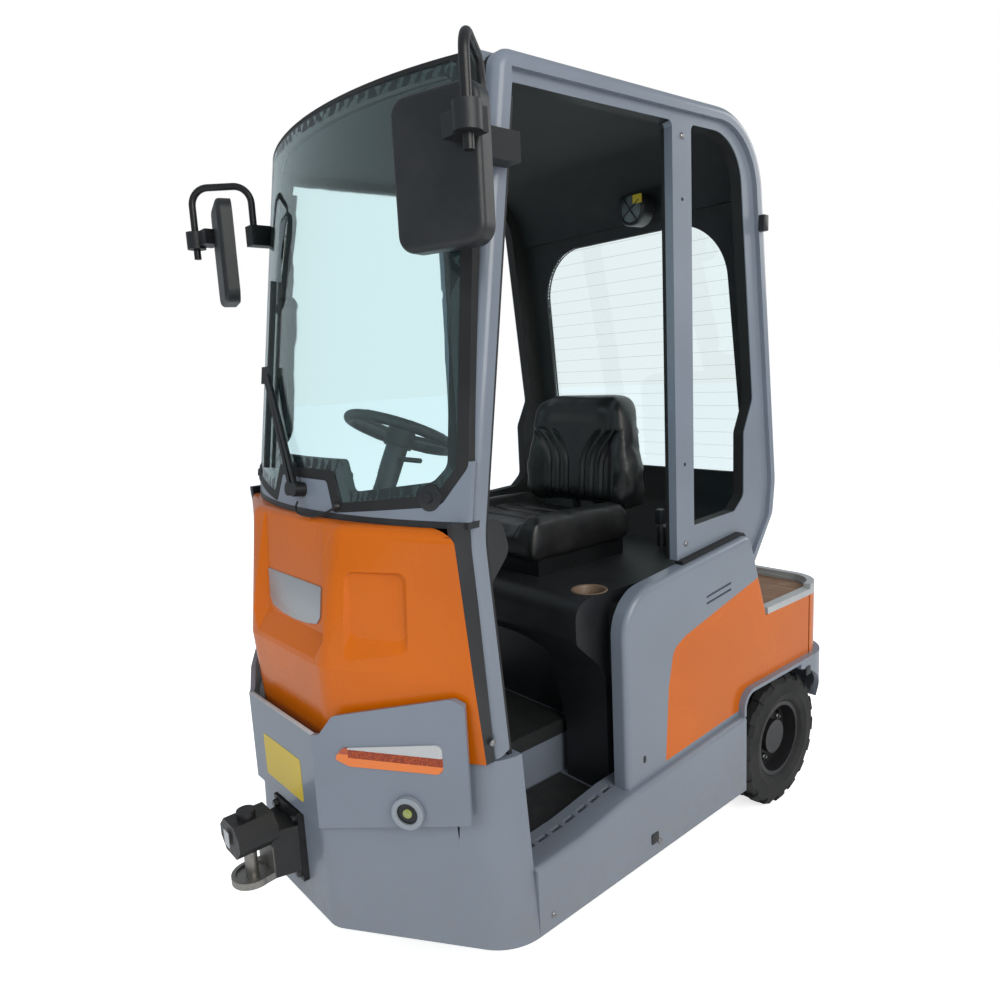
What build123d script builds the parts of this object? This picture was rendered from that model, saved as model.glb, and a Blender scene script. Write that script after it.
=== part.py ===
from build123d import *
import math
import os

os.makedirs("parts", exist_ok=True)

# Sizes in millimetres. X runs forward from the rear axle, Y to the left, Z up from the ground.

# Stance.
WHEELBASE = 1060
HALF_WIDTH = 500
SKIRT_BOTTOM = 155
SHEET = 8
FIT = 0.3
REACH = 200

# Wheels.
REAR_TYRE_R = 198
REAR_TYRE_W = 115
REAR_TYRE_Y = HALF_WIDTH - 90
REAR_RIM_R = 112
FRONT_TYRE_R = 178
FRONT_TYRE_W = 108
FRONT_RIM_R = 96
TYRE_SHOULDER = 14
TYRE_SIDE_R = 12
RIM_WALL = 12
RIM_DISC = 12
RIM_DISH = 2
HAND_HOLES = 5
HAND_HOLE_R = 11
HUB_R = 50
HUB_HALF = 30
AXLE_R = 28

# Flared apron round the front.
APRON_FRONT = WHEELBASE + 275
APRON_REAR = WHEELBASE - 20
APRON_TOP = 555
APRON_WALL = 10
APRON_FLARE = 32
APRON_CHEEK_LOW = 332
APRON_CHEEK_TOP = 328
APRON_SIDE_R_LOW = 125
APRON_SIDE_R_TOP = 110
APRON_FRONT_R = 60
APRON_TURN_LOW = 67
APRON_TURN_TOP = 58
FOOT_BAY_HALF = HALF_WIDTH - 100
FOOT_BAY_FRONT = WHEELBASE + 100
FOOT_BAY_LOW = 300

# Folded bumper plate on the front of the apron.
PLATE_T = 10
PLATE_CREASE_Y = HALF_WIDTH - 345
PLATE_END_X = APRON_FRONT - 175
PLATE_END_Y = HALF_WIDTH - 56
PLATE_LOW = 388
PLATE_CENTRE_TOP = 600
PLATE_RISE_RUN = 15
PLATE_EAR_TOP = 702
PLATE_EAR_IN = HALF_WIDTH - 300
PLATE_EAR_LOW = 645
PLATE_EAR_SLANT = 24
PLATE_EAR_DROP = 16
PLATE_REAR_LOW = 439
PLATE_CORNER_R = 16
BOSS_Y = PLATE_END_Y - 112
BOSS_Z = 453
BOSS_R = 34
BOSS_HEIGHT = 10
BOSS_RING = 10
BOSS_SINK = 4

# Lamp clusters in the cheeks of the plate.
LAMP_OUT_Y = PLATE_END_Y - 44
LAMP_LENGTH = 200
LAMP_LOW = 543
LAMP_TOP = 606
LAMP_TIP_RISE = 10
LAMP_SHOULDER = 18
LAMP_SHOULDER_RISE = 36
LAMP_KEEL = 30
LAMP_KEEL_DROP = 3
LAMP_R = 8
LAMP_END_R = 12
LAMP_PROUD = 3
GUIDE_T = 16
GUIDE_END = 28

# Hood.
NOSE_TOP = 1035
NOSE_WAIST = 740
NOSE_WALL = 12
NOSE_REAR_Y = HALF_WIDTH - 48
NOSE_REAR_X_TOP = WHEELBASE + 108
NOSE_REAR_X_WAIST = WHEELBASE + 80
NOSE_REAR_X_LOW = WHEELBASE + 60
NOSE_FRONT_TOP = WHEELBASE + 206
NOSE_FRONT_WAIST = WHEELBASE + 255
NOSE_FRONT_LOW = WHEELBASE + 246
NOSE_CHEEK_TOP = 252
NOSE_CHEEK_WAIST = 277
NOSE_CHEEK_LOW = 292
NOSE_R = 70
NOSE_EDGE_R = 24
FACE_HALF = 138
FACE_WALL_RUN = 34
FACE_DEPTH = 24
FACE_LEDGE_LOW = 752
FACE_LEDGE_TOP = 796
DENT_FROM_RIDGE = 34
DENT_LENGTH = 150
DENT_LOW = 762
DENT_TOP = 940
DENT_DEPTH = 9
DENT_WALL_RUN = 14
DENT_LIP_RUN = 44
DENT_R = 18

# Cab frame.
CAB_OUT = HALF_WIDTH - 42
CAB_IN = CAB_OUT - 44
PILLAR_FOOT_X = WHEELBASE + 38
PILLAR_KNEE_X = WHEELBASE + 73
PILLAR_KNEE_Z = 1010
PILLAR_KNEE_R = 250
PILLAR_TOP_X = WHEELBASE - 58
PILLAR_TOP_R = 40
PILLAR_W = 36
ROOF_FRONT_Z = 1898
ROOF_Z = 1922
RAIL_DEPTH = 56
RAIL_R = 14
ROOF_T = 20
ROOF_REAR_X = 128
ROOF_REAR_R = 190
WAIST_REAR_X = 30
WAIST_REAR_Z = 985
WAIST_R = 150
HIP_X = 42
HIP_Z = 890
HIP_R = 50
B_PILLAR_FRONT = 482
B_PILLAR_REAR = 410
BEAD_W = 34
BEAD_PROUD = 12
BEAD_R = 20
DOOR_HOLE_R = 4.5
DOOR_HOLE_X = 446
DOOR_HOLE_LOW = 1075
DOOR_HOLE_HIGH = 1691
DOOR_HOLE_DEPTH = 24
ROOF_FRONT_MID = WHEELBASE + 45
LINER_T = 14
LINER_SETBACK = 15
DOOR_SEAL_T = 10
DOOR_SEAL_INSET = 6

# Quarter opening behind the B-pillar.
QUARTER_LOW = 917
QUARTER_FALL = 8
QUARTER_FOOT_R = 6
QUARTER_R = 30
QUARTER_CORNER_X = 228
QUARTER_REAR_X = 184
QUARTER_REAR_Z = 960
QUARTER_STEP_Z = 1130
QUARTER_PILLAR_X = 142
QUARTER_PILLAR_Z = 1215
QUARTER_TOP_X = 208
QUARTER_TOP_R = 118

# Rear wall and its window.
WALL_T = 20
WINDOW_LOW = 1000
WINDOW_TOP = 1700
WINDOW_HALF_LOW = CAB_IN - 49
WINDOW_HALF_TOP = CAB_IN - 69
WINDOW_LOW_R = 50
WINDOW_TOP_R = 160
PANE_T = 5
PANE_INSET = 7

# Curved windscreen, an arc in plan that leans back.
SCREEN_R = 1000
SCREEN_T = 6
SCREEN_TOP = 1884
SCREEN_HALF_TOP = CAB_IN - 14
SCREEN_HALF_LOW = CAB_IN + 16
SCREEN_SIDE_Z = 1150
SCREEN_FOOT_HALF = CAB_IN - 22
SCREEN_FOOT_Z = 1098
SCREEN_LOW = 1070
SCREEN_NOTCH_HALF = 155
SCREEN_NOTCH_TOP_HALF = 125
SCREEN_NOTCH_Z = 1135
SCREEN_R_LOW = 14
SCREEN_R_SIDE = 30
SEAL_DEPTH = 16
SEAL_W = 22
SEAL_LAP = 9
SEAL_BAND = 13
COWL_TOP = 1160
COWL_LAP = 2

# Side sills.
LEDGE_FRONT_Z = 309
LEDGE_MID_X = WHEELBASE - 160
LEDGE_MID_Z = 318
LEDGE_BEND_X = 750
LEDGE_BEND_Z = 341
LEDGE_REAR_Z = 371
SILL_IN = HALF_WIDTH - 100
SILL_EDGE_R = 12
SLOT_COUNT = 7
SLOT_FIRST_X = 736
SLOT_PITCH = 42
SLOT_LENGTH = 30
SLOT_W = 14
SLOT_Y = HALF_WIDTH - 68

# Side panels, deck and arches.
FLANK_OUT = HALF_WIDTH - 18
FLANK_IN = FLANK_OUT - 42
FLANK_FRONT = 728
FLANK_FRONT_TOP = 806
FLANK_FRONT_R = 105
FLANK_REAR_TOP = 861
FLANK_REAR_TOP_X = 205
FLANK_REAR_R = 30
FLANK_TAIL_X = 118
FLANK_END = -113
FLANK_EDGE_R = 14
TRIM_T = 9
TRIM_W = 22
TAIL_TIP_Z = 740
INLAY_DEPTH = 4
INLAY_FOOT_X = 586
INLAY_FOOT_RISE = 14
INLAY_KNEE_X = 571
INLAY_KNEE_Z = 549
INLAY_KNEE_R = 100
INLAY_HIP_X = 549
INLAY_HIP_Z = 640
INLAY_HIP_R = 40
INLAY_TOP_X = 500
INLAY_TOP_Z = 662
INLAY_TOP_R = 60
INLAY_TAIL_Z = 742
VENT_FRONT_X = 411
VENT_LENGTH = 110
VENT_FRONT_Z = (735, 718)
VENT_RISE = 13
VENT_T = 6
VENT_DEPTH = 10
DECK_Z = 620
DECK_T = 10
RIM_HEIGHT = 18
RIM_BOARD = 32
RIM_BOARD_T = 22
RIM_IN = FLANK_OUT - 27
DECK_CORNER_R = 45
ARCH_Z = 430
ARCH_FRONT = 255
LIP_T = 10
LIP_R = 50
LIP_W = 62
WHEEL_GAP = 16.5
WHEEL_ROOM = 22
LINER_WALL = 6
LINER_LOW = 230

# Tail.
REAR_END = -240
COVER_INSET = 18
COVER_WALL = 12
COVER_GAP = 6
TAIL_R = 118
BUMPER_T = 14
BUMPER_LOW = 265
BUMPER_FRONT = -40
TAIL_LAMP_IN = 270
TAIL_LAMP_W = 80
TAIL_LAMP_LOW = 330
TAIL_LAMP_H = 60
TAIL_LAMP_T = 8

# Chassis and floor.
FLOOR_REAR = 650
FLOOR_Z = 430
STEP_Z = 292
PLATE = 10
TOE_X = WHEELBASE + 52
TOE_T = 12
TUNNEL_HALF = 235
TUNNEL_WALL = 10
TUNNEL_FRONT = WHEELBASE + 192
BELLY_Z = 165
BELLY_T = 12
BELLY_FRONT = 850
SUBFRAME_Z = 300
MAT_T = 5
MAT_GAP = 12
MAT_EDGE = 6
MAT_STEP_EDGE = 10
MAT_FRONT = WHEELBASE + 35
MAT_STEP_FRONT = APRON_REAR - 18
NOSING_H = 34

# Drive axle.
TUBE_R = 52
FLANGE_R = 84
FLANGE_T = 22
GEARCASE_HALF_X = 95
GEARCASE_HALF_Y = 85
GEARCASE_DROP = 88
GEARCASE_RISE = 82
GEARCASE_R = 30
MOTOR_R = 70
MOTOR_LENGTH = 130
MOTOR_LAP = 10
PAD_IN = 180
PAD_OUT = 230
PAD_HALF = 45

# Console, battery and seat.
CONSOLE_BACK_X = 662
CONSOLE_FRONT = 704
CONSOLE_HIP_Z = 610
CONSOLE_HIP_R = 60
CONSOLE_NOSE = 800
CONSOLE_NOSE_Z = 700
CONSOLE_NOSE_R = 30
CONSOLE_TOP = 800
CONSOLE_TOP_R = 45
CONSOLE_REAR = 182
CONSOLE_SIDE_R = 40
KNEE_HALF_LOW = 262
KNEE_HALF_TOP = 205
KNEE_TOP = 668
KNEE_R = 80
SHOULDER_TOP = 770
SHOULDER_FRONT = 688
CUP_X = 700
CUP_Y = 352
CUP_R = 38
CUP_DEPTH = 60
BATTERY_FRONT = 640
BATTERY_REAR = 275
BATTERY_HALF = SILL_IN - 15
BATTERY_TOP = 590
SEAT_HALF = 220
SEAT_REAR = 330
SEAT_FRONT = 760
SEAT_LOW = 850
SEAT_TOP = 930
SEAT_FALL = 12
SEAT_GAP = 20
SEAT_R = 25
SEAT_FRONT_R = 38
SLIDE_INSET = 40
SLIDE_FRONT = 60
BACK_LOW = 905
BACK_TOP = 1255
BACK_FOOT = 30
BACK_T = 80
BACK_BELLY = 35
BACK_LEAN = 29
BACK_R = 34
BACK_SIDE_R = 120
BACK_TOP_R = 80
BACK_TOP_INSET = 50
STRUT_HALF = 60
STRUT_T = 50

# Dashboard and pedals.
DASH_HALF = HALF_WIDTH - 95
DASH_R = 36
DASH_LOW = 880
DASH_REAR = WHEELBASE - 70
DASH_BELLY_Z = 960
DASH_LIP_X = WHEELBASE - 50
DASH_LIP_Z = 1030
DASH_TOP_X = WHEELBASE + 52
DASH_TOP_Z = 1046
DASH_STEP_Z = 1000
DASH_KNEE_X = WHEELBASE
KNEE_PANEL_HALF = HALF_WIDTH - 135
POD_Y = -205
POD_HALF = 70
POD_X = WHEELBASE - 20
POD_TOP = 1092
POD_LEAN = 16
POD_T = 24
POD_R = 8
PEDAL_T = 12
PEDAL_RISE = 76
PEDAL_RUN = 42
PEDAL_ARM = 20
PEDAL_LIFT = 60
PEDAL_TABLE = (
    (WHEELBASE - 8, 468, -120, 60),
    (WHEELBASE - 8, 488, -10, 100),
)

# Steering.
FORK_LEG_IN = 66
FORK_LEG_T = 16
FORK_LEG_HALF = 45
FORK_TOP = 392
KINGPIN_R = 35
KINGPIN_TOP = 418
HEAD_LOW = 397
HEAD_T = 15
HEAD_LENGTH = 120
HEAD_TONGUE = 120
FRONT_AXLE_R = 15
STEER_X = WHEELBASE - 95
STEER_Z = 1186
STEER_R = 128
STEER_TUBE_R = 13
STEER_TILT = 25
SPOKES = 3
SPOKE_W = 26
SPOKE_T = 10
SPOKE_DROP = 6
STEER_HUB_R = 34
STEER_HUB_DROP = 34
COLUMN_R = 26
COLUMN_LENGTH = 195
STALK_R = 6
STALK_LENGTH = 110
STALK_DROP = 30

# Couplings.
COUPLING_REACH = 150
COUPLING_Z = 290
TOW_PIN_R = 14
FLANGE_HALF = 60
FLANGE_DROP = 75
FLANGE_RISE = 92
FLANGE_PLATE = 14
NECK_HALF = 40
NECK_DROP = 48
NECK_RISE = 62
NECK_LENGTH = 70
JAW_UNDER = 28
JAW_OVER = 32
JAW_HALF = 52
JAW_H = 74
JAW_SETBACK = 45
JAW_FRONT = 40
JAW_CHAMFER = 24
LIP_PLATE = 16
LIP_DISH_R = 36
LIP_DISH = 5
PIN_CAP_R = 20
PIN_CAP_T = 14
REAR_REACH = 105
REAR_JAW_HALF = 60
REAR_JAW_LOW = 200
REAR_JAW_STEP = 68
REAR_JAW_LEVELS = 4
REAR_JAW_T = 14
REAR_JAW_R = 45
REAR_BACK_T = 14
REAR_BACK_EDGE = 15
REAR_BACK_DROP = 20
REAR_BACK_RISE = 22
REAR_PIN_SETBACK = 42
REAR_PIN_OVER = 28
REAR_PIN_UNDER = 14
PIN_GRIP = 90
PIN_GRIP_W = 16

# Mirrors, wiper, grab handles and work lamp.
MIRROR_TUBE_R = 9
MIRROR_BEND_R = 45
MIRROR_ROOT_X = WHEELBASE + 10
MIRROR_ROOT_Y = CAB_OUT + 24
MIRROR_LEG_X = WHEELBASE + 130
MIRROR_LEG_Y = CAB_OUT + 127
MIRROR_CLAMP_Z = 1712
MIRROR_CLAMP_H = 52
MIRROR_CLAMP_LAP = 30
MIRROR_TUBE_TOP = 1842
MIRROR_TUBE_LOW = 1660
MIRROR_HEAD_X = WHEELBASE + 100
MIRROR_HEAD_Y = CAB_OUT + 14
MIRROR_HEAD_Z = 1658
MIRROR_DEPTH = 38
MIRROR_WIDTH = 182
MIRROR_HEIGHT = 256
MIRROR_R = 32
MIRROR_EDGE_R = 12
MIRROR_TURN = 17
MIRROR_BALL_R = 24
MIRROR_BALL_H = 44
MIRROR_BALL_RISE = 50
WIPER_PIVOT_Z = 1088
WIPER_CAP_R = 16
WIPER_CAP_H = 26
WIPER_TIP_Y = -215
WIPER_TIP_Z = 1340
WIPER_ARM_GAP = 24
WIPER_ARM_W = 11
WIPER_ARM_T = 8
WIPER_LIFT = 23
BLADE_LOW = 1120
BLADE_TOP = 1560
BLADE_W = 9
BLADE_T = 12
BLADE_LIFT = 14
CARRIER_H = 40
HANDLE_LOW = 1165
HANDLE_TOP = 1540
HANDLE_OUT = 48
HANDLE_SLANT = 8
HANDLE_R = 9
HANDLE_BEND_R = 30
WORK_LAMP_Y = 110
WORK_LAMP_Z = 1752
WORK_LAMP_R = 44
WORK_LAMP_T = 46
WORK_FOOT_HALF = 80
WORK_FOOT_H = 52
WORK_FOOT_T = 26

# Middle of the overall length, where the shared frame has its origin.
ORIGIN_X = (APRON_FRONT + COUPLING_REACH + REAR_END - REAR_REACH) / 2


def corner_face(corners):
    """Flat face through (x, y, radius) corners, each turned by an arc of its radius."""
    turns = []
    count = len(corners)
    for index in range(count):
        x, y, radius = corners[index]
        here = Vector(x, y)
        back = (Vector(*corners[index - 1][:2]) - here).normalized()
        ahead = (Vector(*corners[(index + 1) % count][:2]) - here).normalized()
        if radius == 0:
            turns.append((here, None, here))
            continue
        half = math.radians(back.get_angle(ahead)) / 2
        run = radius / math.tan(half)
        centre = here + (back + ahead).normalized() * (radius / math.sin(half))
        middle = centre + (here - centre).normalized() * radius
        turns.append((here + back * run, middle, here + ahead * run))
    edges = []
    for index in range(count):
        start, middle, end = turns[index]
        if middle is not None:
            edges.append(ThreePointArc(start, middle, end))
        following = turns[(index + 1) % count][0]
        if (following - end).length > 0.001:
            edges.append(Line(end, following))
    return make_face(edges)


def side_prism(corners, y_low, y_high):
    """Solid with a side-view outline of (x, z, radius) corners between two widths."""
    face = Plane((0, y_low, 0), x_dir=(1, 0, 0), z_dir=(0, -1, 0)) * corner_face(corners)
    return extrude(face, amount=y_high - y_low, dir=(0, 1, 0))


def front_prism(corners, x_low, x_high):
    """Solid with a front-view outline of (y, z, radius) corners between two lengths."""
    face = Plane((x_low, 0, 0), x_dir=(0, 1, 0), z_dir=(1, 0, 0)) * corner_face(corners)
    return extrude(face, amount=x_high - x_low, dir=(1, 0, 0))


def plan_prism(corners, z_low, z_high):
    """Solid with a plan outline of (x, y, radius) corners between two heights."""
    return extrude(Pos(0, 0, z_low) * corner_face(corners), amount=z_high - z_low, dir=(0, 0, 1))


def block(x_low, x_high, y_low, y_high, z_low, z_high):
    """Plain box between two corners."""
    centre = Pos((x_low + x_high) / 2, (y_low + y_high) / 2, (z_low + z_high) / 2)
    return centre * Box(x_high - x_low, y_high - y_low, z_high - z_low)


def both_halves(half):
    """Closed outline from its left half, listed from the middle outwards and back to the middle."""
    return half + [(-across, along, radius) for across, along, radius in reversed(half)]


def both_sides(half):
    """Closed plan outline from its left half, listed from front to rear."""
    return half + [(x, -y, radius) for x, y, radius in reversed(half)]


def cross_rod(x, z, radius, y_low, y_high):
    """Round bar across the machine."""
    turned = Rot(-90, 0, 0) * Cylinder(radius, y_high - y_low)
    return Pos(x, (y_low + y_high) / 2, z) * turned


def post(x, y, radius, z_low, z_high):
    """Upright round bar."""
    return Pos(x, y, (z_low + z_high) / 2) * Cylinder(radius, z_high - z_low)


def tube(points, bends, radius):
    """Round bar along straight runs joined by arcs."""
    path = FilletPolyline(*points, radius=bends)
    start = Plane(origin=path @ 0, z_dir=path % 0)
    return sweep(start * Circle(radius), path=path)


def bar(start, end, width, depth):
    """Straight bar with a rectangular section between two points."""
    path = Line(start, end)
    plane = Plane(origin=path @ 0, x_dir=(0, 1, 0), z_dir=path % 0)
    return sweep(plane * Rectangle(width, depth), path=path)


def pair(solid):
    """A left piece and its mirror image on the right, as one node."""
    return Compound(children=[solid, mirror(solid, about=Plane.XZ)])


def both(solid):
    """A left form joined with its mirror image on the right."""
    return solid + mirror(solid, about=Plane.XZ)


# Wheels, each about its own axle.
def tyre(radius, width, rim_radius):
    half = width / 2
    section = corner_face([
        (-half + TYRE_SHOULDER, rim_radius, 0),
        (half - TYRE_SHOULDER, rim_radius, 0),
        (half, rim_radius + TYRE_SHOULDER, TYRE_SIDE_R),
        (half, radius - 2 * TYRE_SHOULDER, TYRE_SIDE_R),
        (half - TYRE_SHOULDER, radius, TYRE_SHOULDER),
        (-half + TYRE_SHOULDER, radius, TYRE_SHOULDER),
        (-half, radius - 2 * TYRE_SHOULDER, TYRE_SIDE_R),
        (-half, rim_radius + TYRE_SHOULDER, TYRE_SIDE_R),
    ])
    return revolve(Plane.YZ * section, axis=Axis.Y)


def wheel_rim(rim_radius, width, bore):
    half = width / 2 - TYRE_SHOULDER
    inner = rim_radius - RIM_WALL
    band = cross_rod(0, 0, rim_radius - FIT, -half, half) - cross_rod(0, 0, inner, -half, half)
    disc = cross_rod(0, 0, inner, RIM_DISH - RIM_DISC, RIM_DISH)
    ring = (HUB_R + inner) / 2
    for index in range(HAND_HOLES):
        turn = 2 * math.pi * index / HAND_HOLES
        disc -= cross_rod(ring * math.cos(turn), ring * math.sin(turn), HAND_HOLE_R, -half, half)
    hub = cross_rod(0, 0, HUB_R, -HUB_HALF, HUB_HALF)
    return band + disc + hub - cross_rod(0, 0, bore, -width, width)


rear_place = Pos(0, REAR_TYRE_Y, REAR_TYRE_R)
rear_tyre = rear_place * tyre(REAR_TYRE_R, REAR_TYRE_W, REAR_RIM_R)
rear_rim = rear_place * wheel_rim(REAR_RIM_R, REAR_TYRE_W, AXLE_R + FIT)
front_place = Pos(WHEELBASE, 0, FRONT_TYRE_R)
front_tyre = front_place * tyre(FRONT_TYRE_R, FRONT_TYRE_W, FRONT_RIM_R)
front_rim = front_place * wheel_rim(FRONT_RIM_R, FRONT_TYRE_W, FRONT_AXLE_R + FIT)

# Steered fork over the front wheel.
fork_leg_out = FORK_LEG_IN + FORK_LEG_T
fork_rear = WHEELBASE - FORK_LEG_HALF
fork_front = WHEELBASE + FORK_LEG_HALF
fork_low = FRONT_TYRE_R - FORK_LEG_HALF
fork_leg_r = FORK_LEG_HALF - 1
fork_leg = side_prism([
    (fork_rear, fork_low, fork_leg_r),
    (fork_front, fork_low, fork_leg_r),
    (fork_front, FORK_TOP, 0),
    (fork_rear, FORK_TOP, 0),
], FORK_LEG_IN, fork_leg_out)
steer_fork = both(fork_leg)
steer_fork += block(fork_rear, fork_front, -fork_leg_out, fork_leg_out, FORK_TOP - FORK_LEG_T, FORK_TOP)
steer_fork += cross_rod(WHEELBASE, FRONT_TYRE_R, FRONT_AXLE_R, -fork_leg_out, fork_leg_out)
steer_fork += post(WHEELBASE, 0, KINGPIN_R, FORK_TOP, KINGPIN_TOP)

# Chassis: belly plate, tunnel walls beside the front wheel, steering head and rear subframe.
floor_under = FLOOR_Z - PLATE
apron_inner = APRON_FRONT - APRON_WALL
belly_top = BELLY_Z + BELLY_T
tunnel_inner = TUNNEL_HALF - TUNNEL_WALL
head_top = HEAD_LOW + HEAD_T
subframe_half = REAR_TYRE_Y - REAR_TYRE_W / 2 - WHEEL_GAP - LINER_WALL
subframe_top = SUBFRAME_Z + BELLY_T
subframe_rear = REAR_END + BUMPER_T
bulkhead = ARCH_FRONT + BELLY_T
chassis_frame = block(ARCH_FRONT, BELLY_FRONT, -SILL_IN, SILL_IN, BELLY_Z, belly_top)
chassis_frame += both(block(FLOOR_REAR, TUNNEL_FRONT, tunnel_inner, TUNNEL_HALF, BELLY_Z, floor_under))
chassis_frame += block(FLOOR_REAR, FLOOR_REAR + PLATE, -tunnel_inner, tunnel_inner, BELLY_Z, floor_under)
head_plate = block(WHEELBASE - HEAD_LENGTH, TUNNEL_FRONT, -tunnel_inner, tunnel_inner, HEAD_LOW, head_top)
head_plate += block(TUNNEL_FRONT, apron_inner, -HEAD_TONGUE, HEAD_TONGUE, HEAD_LOW, head_top)
head_plate -= post(WHEELBASE, 0, KINGPIN_R + FIT, HEAD_LOW - HEAD_T, head_top + HEAD_T)
chassis_frame += head_plate
chassis_frame += block(subframe_rear, bulkhead, -subframe_half, subframe_half, SUBFRAME_Z, subframe_top)
chassis_frame += block(ARCH_FRONT, bulkhead, -subframe_half, subframe_half, BELLY_Z, subframe_top)

# Drive axle: tube, gear case, motor, brake flanges, mounting pads and spindles.
axle_end = REAR_TYRE_Y + HUB_HALF
drive_axle = cross_rod(0, REAR_TYRE_R, TUBE_R, -subframe_half, subframe_half)
drive_axle += cross_rod(0, REAR_TYRE_R, AXLE_R, -axle_end, axle_end)
drive_axle += side_prism([
    (-GEARCASE_HALF_X, REAR_TYRE_R - GEARCASE_DROP, GEARCASE_R),
    (GEARCASE_HALF_X, REAR_TYRE_R - GEARCASE_DROP, GEARCASE_R),
    (GEARCASE_HALF_X, REAR_TYRE_R + GEARCASE_RISE, GEARCASE_R),
    (-GEARCASE_HALF_X, REAR_TYRE_R + GEARCASE_RISE, GEARCASE_R),
], -GEARCASE_HALF_Y, GEARCASE_HALF_Y)
motor_x = GEARCASE_HALF_X + MOTOR_LENGTH / 2 - MOTOR_LAP
drive_axle += Pos(motor_x, 0, REAR_TYRE_R) * (Rot(0, 90, 0) * Cylinder(MOTOR_R, MOTOR_LENGTH))
drive_axle += both(cross_rod(0, REAR_TYRE_R, FLANGE_R, subframe_half - FLANGE_T, subframe_half))
drive_axle += both(block(-PAD_HALF, PAD_HALF, PAD_IN, PAD_OUT, REAR_TYRE_R, SUBFRAME_Z))

# Battery, the heavy block under the seat.
battery_block = block(BATTERY_REAR, BATTERY_FRONT, -BATTERY_HALF, BATTERY_HALF, belly_top, BATTERY_TOP)


# Front apron, flared towards its foot.
def apron_plan(top, inset, rear):
    half = HALF_WIDTH - (APRON_FLARE if top else 0)
    front_half = half - (APRON_CHEEK_TOP if top else APRON_CHEEK_LOW)
    corner_x = APRON_REAR + (APRON_TURN_TOP if top else APRON_TURN_LOW)
    side_r = APRON_SIDE_R_TOP if top else APRON_SIDE_R_LOW
    return corner_face(both_sides([
        (rear, half - inset, 0),
        (corner_x - inset / 2, half - inset, side_r - inset),
        (APRON_FRONT - inset, front_half - inset / 3, APRON_FRONT_R - inset),
    ]))


def apron_body(inset, rear):
    low = Pos(0, 0, SKIRT_BOTTOM) * apron_plan(False, inset, rear)
    high = Pos(0, 0, APRON_TOP) * apron_plan(True, inset, rear)
    return loft([low, high], ruled=True)


apron_under = APRON_TOP - APRON_WALL
beyond_front = APRON_FRONT + REACH
beyond_rear = APRON_REAR - REACH
beyond_side = HALF_WIDTH + REACH
below_top = block(beyond_rear, beyond_front, -beyond_side, beyond_side, 0, apron_under)
foot_bay = block(beyond_rear, FOOT_BAY_FRONT, -FOOT_BAY_HALF, FOOT_BAY_HALF, FOOT_BAY_LOW, APRON_TOP + REACH)
front_apron = apron_body(0, APRON_REAR)
front_apron -= apron_body(APRON_WALL, beyond_rear) & below_top
front_apron -= foot_bay

# Side sills: skirts with a rounded step edge and a row of grip slots beside the step.
ledge = [
    (APRON_REAR, LEDGE_FRONT_Z),
    (LEDGE_MID_X, LEDGE_MID_Z),
    (LEDGE_BEND_X, LEDGE_BEND_Z),
    (ARCH_FRONT, LEDGE_REAR_Z),
]


def sill_outline(rear_inset, low, drop):
    upper = [(max(x, ARCH_FRONT + rear_inset), z - drop, 0) for x, z in ledge]
    return [(ARCH_FRONT + rear_inset, low, 0), (APRON_REAR, low, 0)] + upper


sill = side_prism(sill_outline(0, SKIRT_BOTTOM, 0), SILL_IN, HALF_WIDTH)
sill_edge = [
    edge for edge in sill.edges()
    if edge.center().Y > HALF_WIDTH - 1 and edge.center().Z > LEDGE_FRONT_Z
]
sill = fillet(sill_edge, SILL_EDGE_R)
sill -= side_prism(sill_outline(SHEET, 0, SHEET), SILL_IN + SHEET, HALF_WIDTH - SHEET)
for index in range(SLOT_COUNT):
    slot_x = SLOT_FIRST_X + index * SLOT_PITCH
    sill -= block(slot_x, slot_x + SLOT_LENGTH, SLOT_Y - SLOT_W / 2, SLOT_Y + SLOT_W / 2, STEP_Z, FLOOR_Z)
side_sills = pair(sill)

# Floor: raised middle over the front wheel, a step each side, toe board and step fronts.
floor_pan = block(FLOOR_REAR, TOE_X, -TUNNEL_HALF, TUNNEL_HALF, floor_under, FLOOR_Z)
floor_pan += side_prism([
    (TOE_X - TOE_T, floor_under, 0),
    (TOE_X, floor_under, 0),
    (FOOT_BAY_FRONT, apron_under, 0),
    (FOOT_BAY_FRONT - PLATE, apron_under, 0),
], -TUNNEL_HALF, TUNNEL_HALF)
floor_pan += both(block(FLOOR_REAR, APRON_REAR, TUNNEL_HALF, SILL_IN, STEP_Z - PLATE, STEP_Z))
floor_pan += both(block(APRON_REAR - PLATE, APRON_REAR, TUNNEL_HALF, SILL_IN, STEP_Z - PLATE, apron_under))
mat_rear = CONSOLE_BACK_X + MAT_GAP
step_mat_rear = CONSOLE_FRONT + MAT_GAP
mat_top = FLOOR_Z + MAT_T
middle_mat = block(mat_rear, MAT_FRONT, -TUNNEL_HALF, TUNNEL_HALF, FLOOR_Z, mat_top)
nosing_front = APRON_REAR - PLATE - FIT
nosing = block(mat_rear, nosing_front, TUNNEL_HALF, TUNNEL_HALF + MAT_T, FLOOR_Z - NOSING_H, mat_top)
middle_mat += both(nosing)
step_mat_in = TUNNEL_HALF + MAT_STEP_EDGE
step_mat_out = SILL_IN - MAT_STEP_EDGE
step_mat = block(step_mat_rear, MAT_STEP_FRONT, step_mat_in, step_mat_out, STEP_Z, STEP_Z + MAT_T)
floor_mats = Compound(children=[middle_mat, step_mat, mirror(step_mat, about=Plane.XZ)])

# Bumper plate: a strip folded at two creases, cut to its outline.
cheek = Vector(PLATE_END_X - APRON_FRONT - PLATE_T, PLATE_END_Y - PLATE_CREASE_Y).normalized()
cheek_out = Vector(cheek.Y, -cheek.X)


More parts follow.
